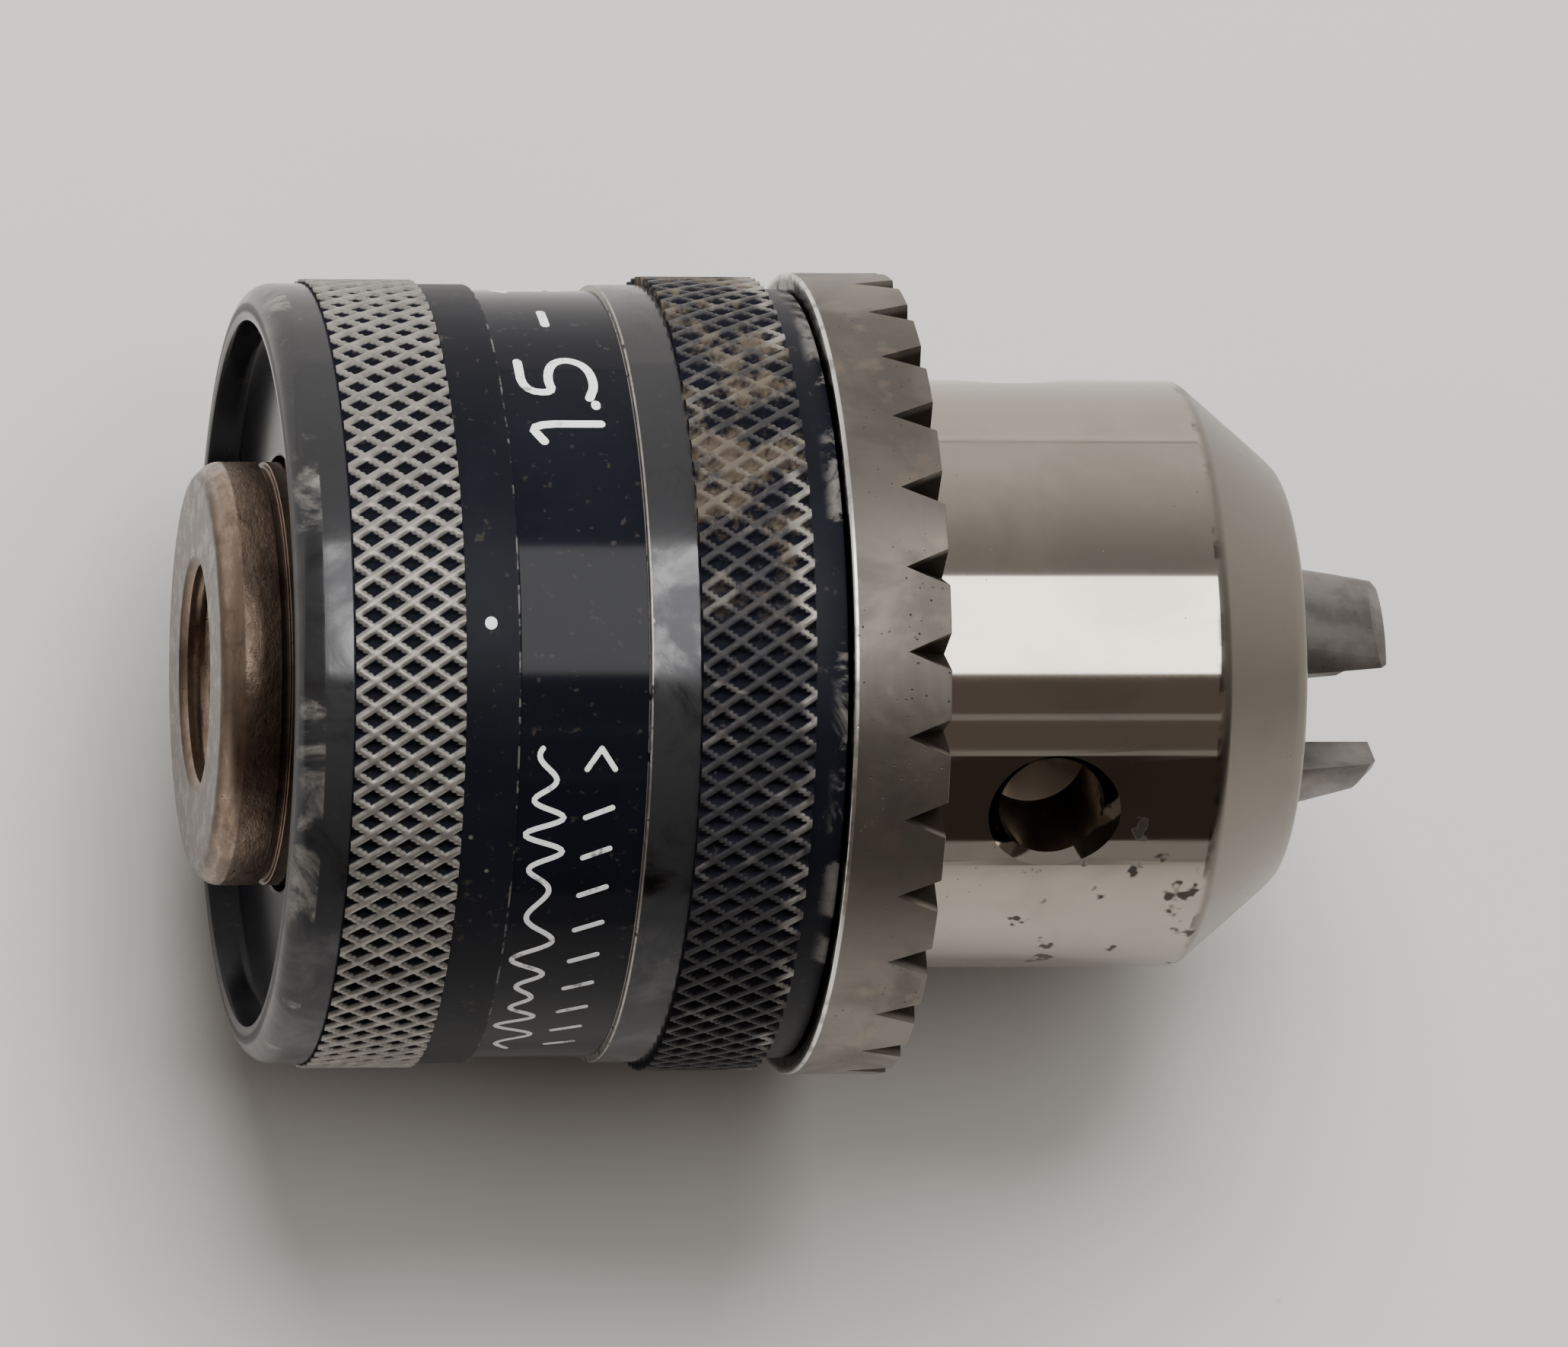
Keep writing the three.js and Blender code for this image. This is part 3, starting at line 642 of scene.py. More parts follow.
def black_oxide(tones, sleeve, rear, land):
    """Glossy black that is rubbed down to bare steel on the knurls' net and the bands' edges."""
    f = Finish("black_oxide")
    place = f.math("SUBTRACT", f.x, rear)
    cloud = f.noise(120, detail=4.0, rough=0.6)
    fine = f.noise(900, detail=3.0, rough=0.6)
    smudge = f.noise(210, detail=5.0, rough=0.65, warp=0.6)

    line = 0.05 * MM
    rear_end = sleeve.rear_start + sleeve.rear_length
    rear_zone = f.within(place, sleeve.rear_start - line, rear_end + line, line)
    rear_top = land + sleeve.rear_rise
    rear_net = f.times(rear_zone, f.ramp(f.radius, rear_top - 0.20 * MM, rear_top - 0.06 * MM),
                       f.ramp(cloud, 0.25, 0.50, 0.4, 0.75))

    front_end = sleeve.front_start + sleeve.front_length
    front_zone = f.within(place, sleeve.front_start - line, front_end + line, line)
    front_top = land + sleeve.front_rise
    front_crest = f.ramp(f.radius, front_top - 0.12 * MM, front_top - 0.02 * MM)
    near_edge = f.ramp(place, front_end - 1.8 * MM, front_end - 0.3 * MM)
    patches = f.ramp(smudge, 0.50, 0.64)
    near_edge = f.times(near_edge, f.ramp(cloud, 0.46, 0.60), 0.8)
    front_net = f.times(front_zone, front_crest, f.most(near_edge, f.times(patches, 0.22), 0.07))

    band_end = sleeve.band_start + sleeve.band_length
    lines = f.most(
        f.times(f.within(place, band_end - 0.02 * MM, band_end + 0.10 * MM, line),
                f.ramp(fine, 0.30, 0.46), 0.95),
        f.times(f.within(place, sleeve.band_start - 0.10 * MM, sleeve.band_start, line),
                f.ramp(fine, 0.50, 0.62), 0.35),
    )
    front_lip = f.times(f.ramp(place, front_end + 0.8 * MM, front_end + 2.0 * MM),
                        f.ramp(smudge, 0.50, 0.60), 0.5)
    rear_rim = f.times(f.within(place, 0.05 * MM, sleeve.edge, 0.1 * MM),
                       f.ramp(f.radius, land - sleeve.edge, land - 0.1 * MM),
                       f.ramp(smudge, 0.52, 0.66), 0.5)
    nicks = f.times(f.pores(420, 0.085, 0.03, cloud, 0.54, 0.62), 0.6)
    bare = f.most(rear_net, front_net, lines, front_lip, rear_rim, nicks)

    dirt = f.times(
        front_zone,
        f.ramp(f.noise(300, detail=4.0, rough=0.7), 0.48, 0.62),
        f.within(f.turn, 0.15, 1.25, 0.35),
    )
    dust = f.times(f.ramp(f.noise(1500, detail=3.0), 0.62, 0.72), 0.25)
    tone = f.tint(f.times(f.ramp(cloud, 0.35, 0.65), 0.5), tones.black, shade(tones.black, 1.8))
    tone = f.tint(dust, tone, shade(tones.grime_and_shade, 1.2))
    tone = f.tint(f.times(dirt, 0.85), tone, shade(tones.grime_and_shade, 1.25))
    polished = f.most(
        f.within(place, 0.1 * MM, sleeve.rear_start - 0.15 * MM, 0.1 * MM),
        f.within(place, band_end + 0.1 * MM, sleeve.front_start - 0.1 * MM, 0.1 * MM),
    )
    polished = f.times(polished, f.ramp(f.radius, land - 2.5 * MM, land - 1.5 * MM),
                       f.ramp(smudge, 0.30, 0.62, 1.0, 0.55))
    tone = f.tint(polished, tone, tones.polish)
    worn = f.mottle(fine, 0.35, 0.65, tones.worn, 0.72)
    tone = f.tint(bare, tone, worn)

    band_zone = f.within(place, sleeve.band_start, band_end, line)
    rough = f.blend(band_zone, f.add(0.34, f.times(smudge, 0.12)), f.add(0.10, f.times(dust, 0.4)))
    rough = f.blend(polished, rough, f.add(0.05, f.times(cloud, 0.06)))
    pit = f.most(f.times(rear_zone, f.ramp(f.radius, rear_top - 0.3 * MM, rear_top, 1.0, 0.0)),
                 f.times(front_zone, f.ramp(f.radius, front_top - 0.3 * MM, front_top, 1.0, 0.0)))
    rough = f.blend(pit, rough, 0.7)
    recessed = f.times(f.ramp(place, 2.4 * MM, 2.1 * MM),
                       f.ramp(f.radius, land - sleeve.edge, land - sleeve.edge - 0.3 * MM))
    rough = f.blend(recessed, rough, 0.14)
    rough = f.blend(f.times(dirt, 0.8), rough, 0.75)
    rough = f.blend(bare, rough, 0.38)
    relief = f.add(f.times(f.streaks(7000, 60), 0.3), f.times(nicks, -2.0), f.times(fine, 0.2))
    normal = f.bump(relief, 0.004 * MM)
    metal = f.most(f.times(bare, 0.95), polished)
    return f.surface(tone, metal, rough, normal, specular=0.12)


def gear_steel(tones, rear, top):
    """Bare steel, finely pitted and stained, with a painted highlight round its rear edge and
    painted shade in its tooth gaps.
    """
    f = Finish("bare_gear_steel")
    cloud = f.noise(150, detail=4.0, rough=0.6, warp=0.5)
    pores = f.pores(2100, 0.16, 0.04, f.noise(300), 0.45, 0.60)
    tone = f.mottle(cloud, 0.40, 0.66, tones.gear, 0.66)
    tone = f.tint(f.times(f.ramp(f.noise(420, detail=4.0), 0.56, 0.70), 0.4), tone,
                  (0.30, 0.24, 0.18))
    tone = f.tint(f.times(pores, 0.75), tone, shade(tones.gear, 0.16))
    # Painted highlight: a bright stripe of pale steel colour round the ring's rear edge.
    edge = f.times(
        f.within(f.x, rear, rear + 0.22 * MM, 0.06 * MM),
        f.ramp(f.noise(500, detail=3.0), 0.34, 0.50, 0.35, 1.0),
    )
    tone = f.tint(edge, tone, (0.80, 0.78, 0.74))
    # Painted shade in the tooth gaps, in the grime colour: darker the deeper a point lies below the
    # crest.
    sunk = f.ramp(f.radius, top - 0.5 * MM, top - 0.06 * MM, 1.0, 0.0)
    tone = f.tint(f.times(sunk, 0.95), tone, shade(tones.grime_and_shade, 0.55))
    rough = f.add(0.36, f.times(cloud, 0.2), f.times(sunk, 0.25))
    rough = f.blend(edge, rough, 0.28)
    relief = f.add(f.times(pores, -1.4), f.times(f.noise(1300, detail=4.0), 0.5),
                   f.times(f.streaks(5000, 60, detail=3.0), 0.3))
    return f.surface(tone, 1.0, rough, f.bump(relief, 0.016 * MM))


def jaw_steel(tones):
    """Hardened steel, ground along the jaws."""
    f = Finish("hardened_jaw_steel")
    cloud = f.noise(340, detail=4.0, rough=0.6)
    grind = f.streaks(350, 4200, detail=3.0)
    tone = f.mottle(cloud, 0.38, 0.66, tones.jaw, 0.66)
    pores = f.pores(1500, 0.12, 0.03, cloud, 0.5, 0.6)
    tone = f.tint(f.times(pores, 0.8), tone, shade(tones.jaw, 0.2))
    rough = f.add(0.34, f.times(cloud, 0.18), f.times(grind, 0.08))
    relief = f.add(f.times(grind, 0.6), f.times(f.noise(1800, detail=3.0), 0.5))
    return f.surface(tone, 1.0, rough, f.bump(relief, 0.008 * MM))


def oiled_steel(tones):
    """Dark machined steel under a film of oil and grease."""
    f = Finish("oiled_nut_steel")
    cloud = f.noise(260, detail=4.0, rough=0.6)
    rings = f.streaks(6000, 80)
    tone = f.tint(f.ramp(cloud, 0.4, 0.68), tones.nut, shade(tones.grime_and_shade, 1.6))
    rough = f.add(0.26, f.times(cloud, 0.22))
    return f.surface(tone, 1.0, rough, f.bump(f.add(rings, f.times(cloud, 0.5)), 0.006 * MM))


def bearing_steel(tones):
    """Polished steel with faint running marks."""
    f = Finish("polished_bearing_steel")
    cloud = f.noise(400, detail=3.0)
    marks = f.streaks(9000, 900)
    tone = f.mottle(cloud, 0.45, 0.70, tones.race, 0.72)
    rough = f.add(0.10, f.times(cloud, 0.14))
    return f.surface(tone, 1.0, rough, f.bump(marks, 0.002 * MM))


def cage_brass(tones):
    """Dull brass with tarnish round its pockets."""
    f = Finish("cage_brass")
    cloud = f.noise(320, detail=4.0, rough=0.65)
    tone = f.mottle(cloud, 0.42, 0.64, tones.brass, 0.45)
    rough = f.add(0.28, f.times(cloud, 0.25))
    return f.surface(tone, 1.0, rough, f.bump(f.noise(1400, detail=3.0), 0.006 * MM))


def mark_white(tones):
    """White marking that is rubbed thin in places."""
    f = Finish("rubbed_white_mark")
    rubbed = f.ramp(f.noise(620, detail=4.0, rough=0.7), 0.56, 0.66)
    tone = f.tint(f.times(rubbed, 0.8), tones.mark, (0.10, 0.10, 0.11))
    return f.surface(tone, 0.0, f.add(0.5, f.times(rubbed, -0.2)),
                     f.bump(f.noise(2600, detail=3.0), 0.006 * MM))


def table_top(tones):
    """Smooth pale board with faint specks."""
    f = Finish("pale_table")
    cloud = f.noise(9, detail=4.0, rough=0.5)
    specks = f.pores(160, 0.045, 0.02, f.noise(30), 0.55, 0.62)
    tone = f.mottle(cloud, 0.35, 0.65, tones.table, 0.95)
    tone = f.tint(f.times(specks, 0.55), tone, shade(tones.table, 0.45))
    return f.surface(tone, 0.0, f.add(0.5, f.times(cloud, 0.1)),
                     f.bump(f.noise(700, detail=3.0), 0.01 * MM), specular=0.3)


# ---------------------------------------------------------------- the jaws' cone


class Cone:
    """Places and directions on the cone that the jaws' backs lie on."""

    def __init__(self, settings):
        self.settings = settings
        self.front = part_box("chuck_body")[1].x
        self.cos, self.sin = math.cos(settings.slant), math.sin(settings.slant)
        self.slope = math.tan(settings.slant)
        self.lead = settings.pitch * self.cos

    def radius(self, place):
        return self.settings.mouth + (self.front - place) * self.slope

    def jaw_centre(self, place, jaw_radius, turn):
        """A point on a jaw's own centre line."""
        away = self.radius(place) - jaw_radius / self.cos
        return Vector((place, 0, 0)) + direction(turn) * away

    def jaw_line(self, turn):
        """The way that a jaw moves as it closes."""
        return Vector((self.cos, 0, 0)) - direction(turn) * self.sin

    def phase(self, place, turn):
        """How many pitches a point is from the thread's start; whole numbers lie on it."""
        return place / self.lead - (math.pi / 2 - turn) / TURN

    def section(self, place, turn, shape):
        """A thread's section: offsets out of the cone and forwards along it."""
        out = direction(turn)
        centre = Vector((place, 0, 0)) + out * self.radius(place)
        normal = Vector((self.sin, 0, 0)) + out * self.cos
        forward = Vector((self.cos, 0, 0)) - out * self.sin
        return [centre + normal * u + forward * v for u, v in shape]


# ---------------------------------------------------------------- chuck body


def spindle_thread(body):
    """Relief that cuts the spindle's thread into the rear socket."""
    start, lead_in, run_out = 0.9 * MM, 0.8 * MM, 1.5 * MM
    flat, flank = 0.12, 0.76  # shares of half a pitch

    def relief(place, radius, turn):
        deep = body.thread_root - body.thread_crest
        near = (abs(radius - body.thread_root) < 0.01 * MM) & (place < body.socket_depth)
        wave = np.abs((place / body.thread_pitch + turn / TURN) % 1 - 0.5) * 2
        fade = np.clip((body.socket_depth - place) / run_out, 0, 1)
        fade *= np.clip((place - start) / lead_in, 0, 1)
        tooth = np.clip((wave - flat) / flank, 0, 1)
        return np.where(near, -deep * tooth * fade, 0.0)

    return relief


def key_hole_cutter(body, turn):
    """The shape of one pilot hole, with its chamfer and its drilled point."""
    mouth, past = body.key_hole + body.key_chamfer, 0.4 * MM
    tip, drill_point, dip = 0.02 * MM, 1.2 * MM, 0.35 * MM
    top = body.nose_radius
    floor = body.tool_bore + body.key_wall
    rows = [
        (floor, tip),
        (floor + drill_point, body.key_hole),
        (top - body.key_chamfer - dip, body.key_hole),
        (top + past, mouth + past),
        (top + past + MM, mouth + past),
    ]
    sides = 72
    out = direction(turn)
    side = Vector((1, 0, 0)).cross(out)
    middle = Vector((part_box("gear_ring")[1].x + body.key_reach, 0, 0))
    points = []
    for height, radius in rows:
        for k in range(sides):
            a = TURN * k / sides
            ring = Vector((1, 0, 0)) * math.cos(a) + side * math.sin(a)
            points.append(middle + out * height + ring * radius)
    return new_piece("key hole cutter", points, tube_faces(len(rows), sides))


def make_body(context):
    scene = context.scene
    body, jaws, cone = scene.chuck_body, scene.chuck_jaws, Cone(scene.chuck_cone)
    fit = scene.chuck_cone.fit
    front = cone.front
    flange_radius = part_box("chuck_body")[1].z
    sleeve_inside = body.boss_length + scene.chuck_sleeve.rear_wall
    race_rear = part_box("race_rear")[0].x
    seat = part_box("race_front")[0].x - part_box("ball_01")[1].x
    nut_rear, nut_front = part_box("nut_half_a")[0].x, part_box("nut_half_a")[1].x
    nut_seat = cone.radius(nut_front) - scene.chuck_cone.thread_depth / cone.cos
    web_front = body.socket_depth + body.web
    collar_rear = body.boss_length - body.collar
    groove_rear = collar_rear - body.groove_width
    register = body.nose_radius + body.register_step
    fine, race_gap = 0.08 * MM, 0.05 * MM
    socket_chamfer, bore_chamfer = 0.45 * MM, 0.5 * MM
    profile = outline([
        (0, body.thread_root + socket_chamfer, fine),
        (0, body.boss_radius - body.boss_lip, 0.3 * MM),
        (body.boss_lip, body.boss_radius, 0.5 * MM),
        (groove_rear, body.boss_radius, fine),
        (groove_rear, body.boss_radius - body.groove_depth, fine),
        (collar_rear, body.boss_radius - body.groove_depth, fine),
        (collar_rear, body.boss_radius, fine),
        (sleeve_inside + fit, body.boss_radius, fine),
        (sleeve_inside + fit, flange_radius, 0.4 * MM),
        (race_rear - seat - race_gap, flange_radius, 0.3 * MM),
        (race_rear - seat - race_gap, register, fine),
        (nut_rear - fit, register, 0.2 * MM),
        (nut_rear - fit, nut_seat, 0.3 * MM),
        (nut_front + fit, nut_seat, 0.3 * MM),
        (nut_front + fit, body.nose_radius, 0.2 * MM),
        (front - body.cone_length, body.nose_radius, 0.45 * MM),
        (front - body.rim, body.face_radius + body.rim, 0.4 * MM),
        (front, body.face_radius, 0.4 * MM),
        (front, body.tool_bore + bore_chamfer, fine),
        (front - bore_chamfer, body.tool_bore, fine),
        (web_front, body.tool_bore, fine),
        (web_front, body.screw_hole, 0.2 * MM),
        (body.socket_depth, body.screw_hole, 0.2 * MM),
        (body.socket_depth, body.thread_root, 0.0, body.thread_pitch / 9),
        (socket_chamfer, body.thread_root, 0.0),
    ])
    piece = turned("body_shell", profile, body.sides, spindle_thread(body))
    bore_rear = jaw_rear(jaws, cone) - open_travel(jaws, cone) * cone.cos - fit
    bore_front = front + 2 * jaws.radius
    cutters = []
    for turn in jaw_turns(jaws):
        middle = cone.jaw_centre((bore_rear + bore_front) / 2, jaws.radius, turn)
        reach = (bore_front - bore_rear) / cone.cos
        cutters.append(pin("jaw bore", middle, cone.jaw_line(turn), jaws.radius + fit, reach))
        cutters.append(key_hole_cutter(body, turn + math.pi / 3))
    carve(piece, cutters)
    smooth(piece)
    finish = nose_and_hub_steel(scene.chuck_finish, body)
    fit_out(piece, "body", "nose_steel", finish, "chuck_body")


# ---------------------------------------------------------------- jaws


def jaw_turns(jaws):
    return [jaws.first + i * TURN / 3 for i in range(3)]


def open_travel(jaws, cone):
    """How far a jaw slides back along itself to open fully."""
    return (jaws.grip_open - jaws.grip) / cone.sin


def jaw_rear(jaws, cone):
    """Where a jaw's centre line ends at the rear."""
    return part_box("jaw_1")[0].x + jaws.radius * cone.sin


def grip_wedge(jaws, rear, tip, turn):
    """The wedge that leaves a jaw its gripping land, its flanks and its bevelled tip."""
    depth = 8 * jaws.radius
    half, spread = jaws.land / 2, jaws.land / 2 + depth * math.tan(jaws.flank)
    out = direction(turn)
    side = Vector((1, 0, 0)).cross(out)
    points = []
    for place in (rear, tip):
        for away, across in (
            (jaws.grip, -half), (jaws.grip, half),
            (jaws.grip + depth, spread), (jaws.grip + depth, -spread),
        ):
            points.append(Vector((place, 0, 0)) + out * away + side * across)
    faces = [(0, 1, 2, 3), (4, 5, 6, 7), (0, 1, 5, 4), (1, 2, 6, 5), (2, 3, 7, 6), (3, 0, 4, 7)]
    return new_piece("grip wedge", points, faces)


def tip_bevel(cone, jaws, tip):
    """The cone that bevels the backs of all three tips, as a solid to keep."""
    spare, core = 0.1 * MM, 0.01 * MM
    back = cone.radius(tip) + spare
    wide = 4 * back
    profile = outline([
        (-tip, core), (-tip, wide), (tip - jaws.tip_slope - (wide - back), wide),
        (tip, back - jaws.tip_slope), (tip, core),
    ])
    return turned("tip bevel", profile, 96)


def thread_cutter(cone, rear, front, turn):
    """The thread's grooves where they cross one jaw."""
    thread = cone.settings
    half_floor, half_top = thread.ridge_crest + thread.fit, thread.ridge_root + thread.fit
    shape = [
        (thread.thread_depth, -half_top), (thread.thread_depth, half_top), (0, half_top),
        (-thread.thread_depth, half_floor), (-thread.thread_depth, -half_floor), (0, -half_top),
    ]
    stations, reach = 13, math.radians(26)
    points, faces = [], []
    first = math.ceil(cone.phase(rear, turn))
    last = math.floor(cone.phase(front, turn))
    for turns in range(first, last + 1):
        base = len(points)
        for k in range(stations):
            there = turn + reach * (2 * k / (stations - 1) - 1)
            place = (turns + (math.pi / 2 - there) / TURN) * cone.lead
            points += cone.section(place, there, shape)
        faces += shifted(tube_faces(stations, len(shape)), base)
    return new_piece("thread cutter", points, faces)


def make_jaws(context):
    scene = context.scene
    jaws, cone = scene.chuck_jaws, Cone(scene.chuck_cone)
    rear, tip = jaw_rear(jaws, cone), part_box("jaw_1")[1].x
    nut_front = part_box("nut_half_a")[1].x
    finish = jaw_steel(scene.chuck_finish)
    for i, turn in enumerate(jaw_turns(jaws)):
        node, body = f"jaw_{i + 1}", f"jaw_{'abc'[i]}"
        past = 2 * jaws.radius
        middle = cone.jaw_centre((rear + tip + past) / 2, jaws.radius, turn)
        reach = (tip + past - rear) / cone.cos
        piece = pin(f"jaw_blade_{i + 1}", middle, cone.jaw_line(turn), jaws.radius, reach, 72)
        carve(piece, [grip_wedge(jaws, rear - past, tip, turn), tip_bevel(cone, jaws, tip)],
              "INTERSECT")
        round_edges(piece, jaws.rounding, 3, 25)
        threads_end = nut_front + open_travel(jaws, cone) * cone.cos + cone.lead / 2
        carve(piece, [thread_cutter(cone, rear - cone.lead, threads_end, turn)])
        smooth(piece, 25)
        fit_out(piece, body, "jaw_steel", finish, node)


# ---------------------------------------------------------------- sleeve and marks


def knurl(place, turn, start, sleeve):
    """Depth below the crest of a net of crossing ridges with pits between them."""
    across = turn / TURN * sleeve.cells
    along = (place - start) / sleeve.cell_length
    left = np.abs((across + along + 0.5) % 1 - 0.5)
    right = np.abs((across - along + 0.5) % 1 - 0.5)
    ridge, bank = 0.15, 0.17  # half a ridge's top and the slope beside it, in cells
    pit = np.clip((np.minimum(left, right) - ridge) / bank, 0, 1)
    return sleeve.cell_depth * pit * pit * (3 - 2 * pit)


def sleeve_relief(sleeve, rear, land):
    """Cuts both knurls into the sleeve's outside."""
    bands = (
        (rear + sleeve.rear_start, sleeve.rear_length, land + sleeve.rear_rise),
        (rear + sleeve.front_start, sleeve.front_length, land + sleeve.front_rise),
    )

    near = 1e-6

    def relief(place, radius, turn):
        change = np.zeros_like(radius)
        for start, long, top in bands:
            inside = (place > start - near) & (place < start + long + near)
            inside &= np.abs(radius - top) < near
            change -= np.where(inside, knurl(place, turn, start, sleeve), 0)
        return change

    return relief


def rounded_rim(rear, land, edge, steps=8):
    """The round of the sleeve's rear rim."""
    turns = [math.pi / 2 * (1 - k / steps) for k in range(steps + 1)]
    return [
        (rear + edge * (1 - math.sin(a)), land - edge * (1 - math.cos(a))) for a in turns
    ]


def make_sleeve(context):
    scene = context.scene
    sleeve = scene.chuck_sleeve
    low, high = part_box("sleeve")
    rear, front = low.x, high.x
    wall = scene.chuck_body.boss_length
    land = high.z - sleeve.front_rise
    recess = land - sleeve.rim_wall
    hole = scene.chuck_body.boss_radius + scene.chuck_cone.fit
    bore = land - sleeve.wall
    row = sleeve.cell_length / sleeve.facets
    rear_knurl = rear + sleeve.rear_start
    band = rear + sleeve.band_start
    front_knurl = rear + sleeve.front_start
    band_floor = land - sleeve.band_depth
    fine = 0.1 * MM
    profile = outline([
        (wall, hole, 0.3 * MM),
        (wall, recess, 0.5 * MM),
        (rear, recess, 0.3 * MM),
        *rounded_rim(rear, land, sleeve.edge),
        (rear_knurl, land),
        (rear_knurl, land + sleeve.rear_rise, 0.0, row),
        (rear_knurl + sleeve.rear_length, land + sleeve.rear_rise),
        (rear_knurl + sleeve.rear_length, land),
        (band, land, fine),
        (band, band_floor, fine),
        (band + sleeve.band_length, band_floor, fine),
        (band + sleeve.band_length, land, fine),
        (front_knurl, land),
        (front_knurl, land + sleeve.front_rise, 0.0, row),
        (front_knurl + sleeve.front_length, land + sleeve.front_rise),
        (front_knurl + sleeve.front_length, land - sleeve.step),
        (front, land - sleeve.step, 0.2 * MM),
        (front, bore, fine),
        (wall + sleeve.rear_wall, bore, fine),
        (wall + sleeve.rear_wall, hole, fine),
    ], arc=2)
    sides = sleeve.cells * sleeve.facets
    piece = turned("sleeve_shell", profile, sides, sleeve_relief(sleeve, rear, land))
    smooth(piece, 50)
    finish = black_oxide(scene.chuck_finish, sleeve, rear, land)
    fit_out(piece, "turning_sleeve", "black_sleeve", finish, "sleeve")


SUNK = 0.004 * MM  # how far a mark's film starts below the surface under it
THIN = 0.6  # width of the turning mark's lines, with the numerals' as 1

# Strokes of each numeral, as points across and up its cell, with its height as 1.
NUMERALS = {
    "1": [[(0.14, 0.80), (0.34, 1.0), (0.34, 0.0)]],
    "3": [[(0.04, 0.88), (0.16, 0.99), (0.38, 0.99), (0.52, 0.84), (0.50, 0.64), (0.26, 0.54),
           (0.52, 0.44), (0.58, 0.24), (0.44, 0.04), (0.16, 0.0), (0.02, 0.12)]],
    "5": [[(0.54, 1.0), (0.14, 1.0), (0.09, 0.58), (0.30, 0.64), (0.52, 0.54), (0.58, 0.30),
           (0.46, 0.06), (0.20, 0.0), (0.03, 0.10)]],
    ".": [[(0.10, 0.03), (0.13, 0.03)]],
    "-": [[(0.04, 0.48), (0.34, 0.48)]],
}
WIDTHS = {"1": 0.68, "3": 1.2, "5": 1.75, ".": 0.26, "-": 1.55}


def softened(path, rounds=2):
    """A path with its corners cut, its ends kept."""
    for _ in range(rounds):
        cut = [path[0]]
        for a, b in zip(path, path[1:]):
            cut += [a.lerp(b, 0.25), a.lerp(b, 0.75)]
        path = cut + [path[-1]]
    return path


def stroke_mesh(path, width, film, radius, points, faces):
    """Adds a flat round-ended line, wrapped on a cylinder, to a mesh being made.

    A path point is (distance round the cylinder, place along it).
    """
    half, cap, narrowest = width / 2, 4, 0.004 * MM
    steps = []
    first = (path[0] - path[1]).normalized()
    last = (path[-1] - path[-2]).normalized()
    for k in range(cap):
        a = math.pi / 2 * k / cap
        steps.append((path[0] + first * half * math.cos(a), half * math.sin(a), -first))
    for i, here in enumerate(path):
        before, after = path[max(i - 1, 0)], path[min(i + 1, len(path) - 1)]
        steps.append((here, half, (after - before).normalized()))
    for k in range(cap - 1, -1, -1):
        a = math.pi / 2 * k / cap
        steps.append((path[-1] + last * half * math.cos(a), half * math.sin(a), last))
    base = len(points)
    for here, reach, ahead in steps:
        across = Vector((-ahead.y, ahead.x)) * max(reach, narrowest)
        for corner, height in ((here + across, 0), (here + across, film), (here - across, film),
                               (here - across, 0)):
            out = direction(corner.x / radius)
            points.append(Vector((corner.y, 0, 0)) + out * (radius + height))
    faces += shifted(tube_faces(len(steps), 4), base)


def make_marks(context):
    scene = context.scene
    sleeve, marks = scene.chuck_sleeve, scene.chuck_marks
    low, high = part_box("sleeve")
    land = high.z - sleeve.front_rise
    floor = land - sleeve.band_depth - SUNK
    band = low.x + sleeve.band_start
    finish = mark_white(scene.chuck_finish)

    points, faces = [], []
    base = band + sleeve.band_length - marks.margin
    along = marks.start * floor
    for sign in "1.5-13":
        for stroke in NUMERALS[sign]:
            path = [
                Vector((along + across * marks.spread * marks.height, base - up * marks.height))
                for across, up in stroke
            ]
            stroke_mesh(softened(path), marks.stroke, marks.film, floor, points, faces)
        along += WIDTHS[sign] * marks.height
    numerals = new_piece("capacity_numerals", points, faces)

    points, faces = [], []
    first, last = marks.wave_start * floor, marks.wave_end * floor
    thin = marks.stroke * THIN
    drift, drift_rate, swell_rate = 1.4, 470, 2.1
    wave = []
    for around in np.linspace(first, last, 180):
        swing = math.sin(around / marks.wave_length * TURN + drift * math.sin(around * drift_rate))
        swell = 0.7 + 0.3 * math.sin(around / marks.wave_length * swell_rate)
        place = band + marks.wave_place + swing * swell * marks.wave_swing
        wave.append(Vector((around, place)))
    stroke_mesh(wave, thin, marks.film, floor, points, faces)
    line = band + marks.dash_place
    lean, barb_back, barb_out = 0.3 * MM, -1.2 * MM, 0.8 * MM
    for k in range(marks.dashes):
        around = first + (last - first) * (k + 0.5) / (marks.dashes + 1)
        path = [
            Vector((around - lean, line - marks.dash / 2)),
            Vector((around + lean, line + marks.dash / 2)),
        ]
        stroke_mesh(path, thin, marks.film, floor, points, faces)
    head = Vector((last, line))
    for side in (-1, 1):
        path = [head, head + Vector((barb_back, side * barb_out))]
        stroke_mesh(path, thin, marks.film, floor, points, faces)
    trim = new_piece("turning_mark", points, faces)

    points, faces = [], []
    top = land - SUNK
    spot, short = Vector((marks.dot_angle * top, low.x + marks.dot_place)), Vector((0.02 * MM, 0))
    stroke_mesh([spot - short, spot + short], 2 * marks.dot, marks.film, top, points, faces)
    dot = new_piece("index_dot", points, faces)
    for piece in (numerals, trim, dot):
        smooth(piece, 40)
        fit_out(piece, "turning_sleeve", "black_sleeve", finish)


# ---------------------------------------------------------------- gear ring


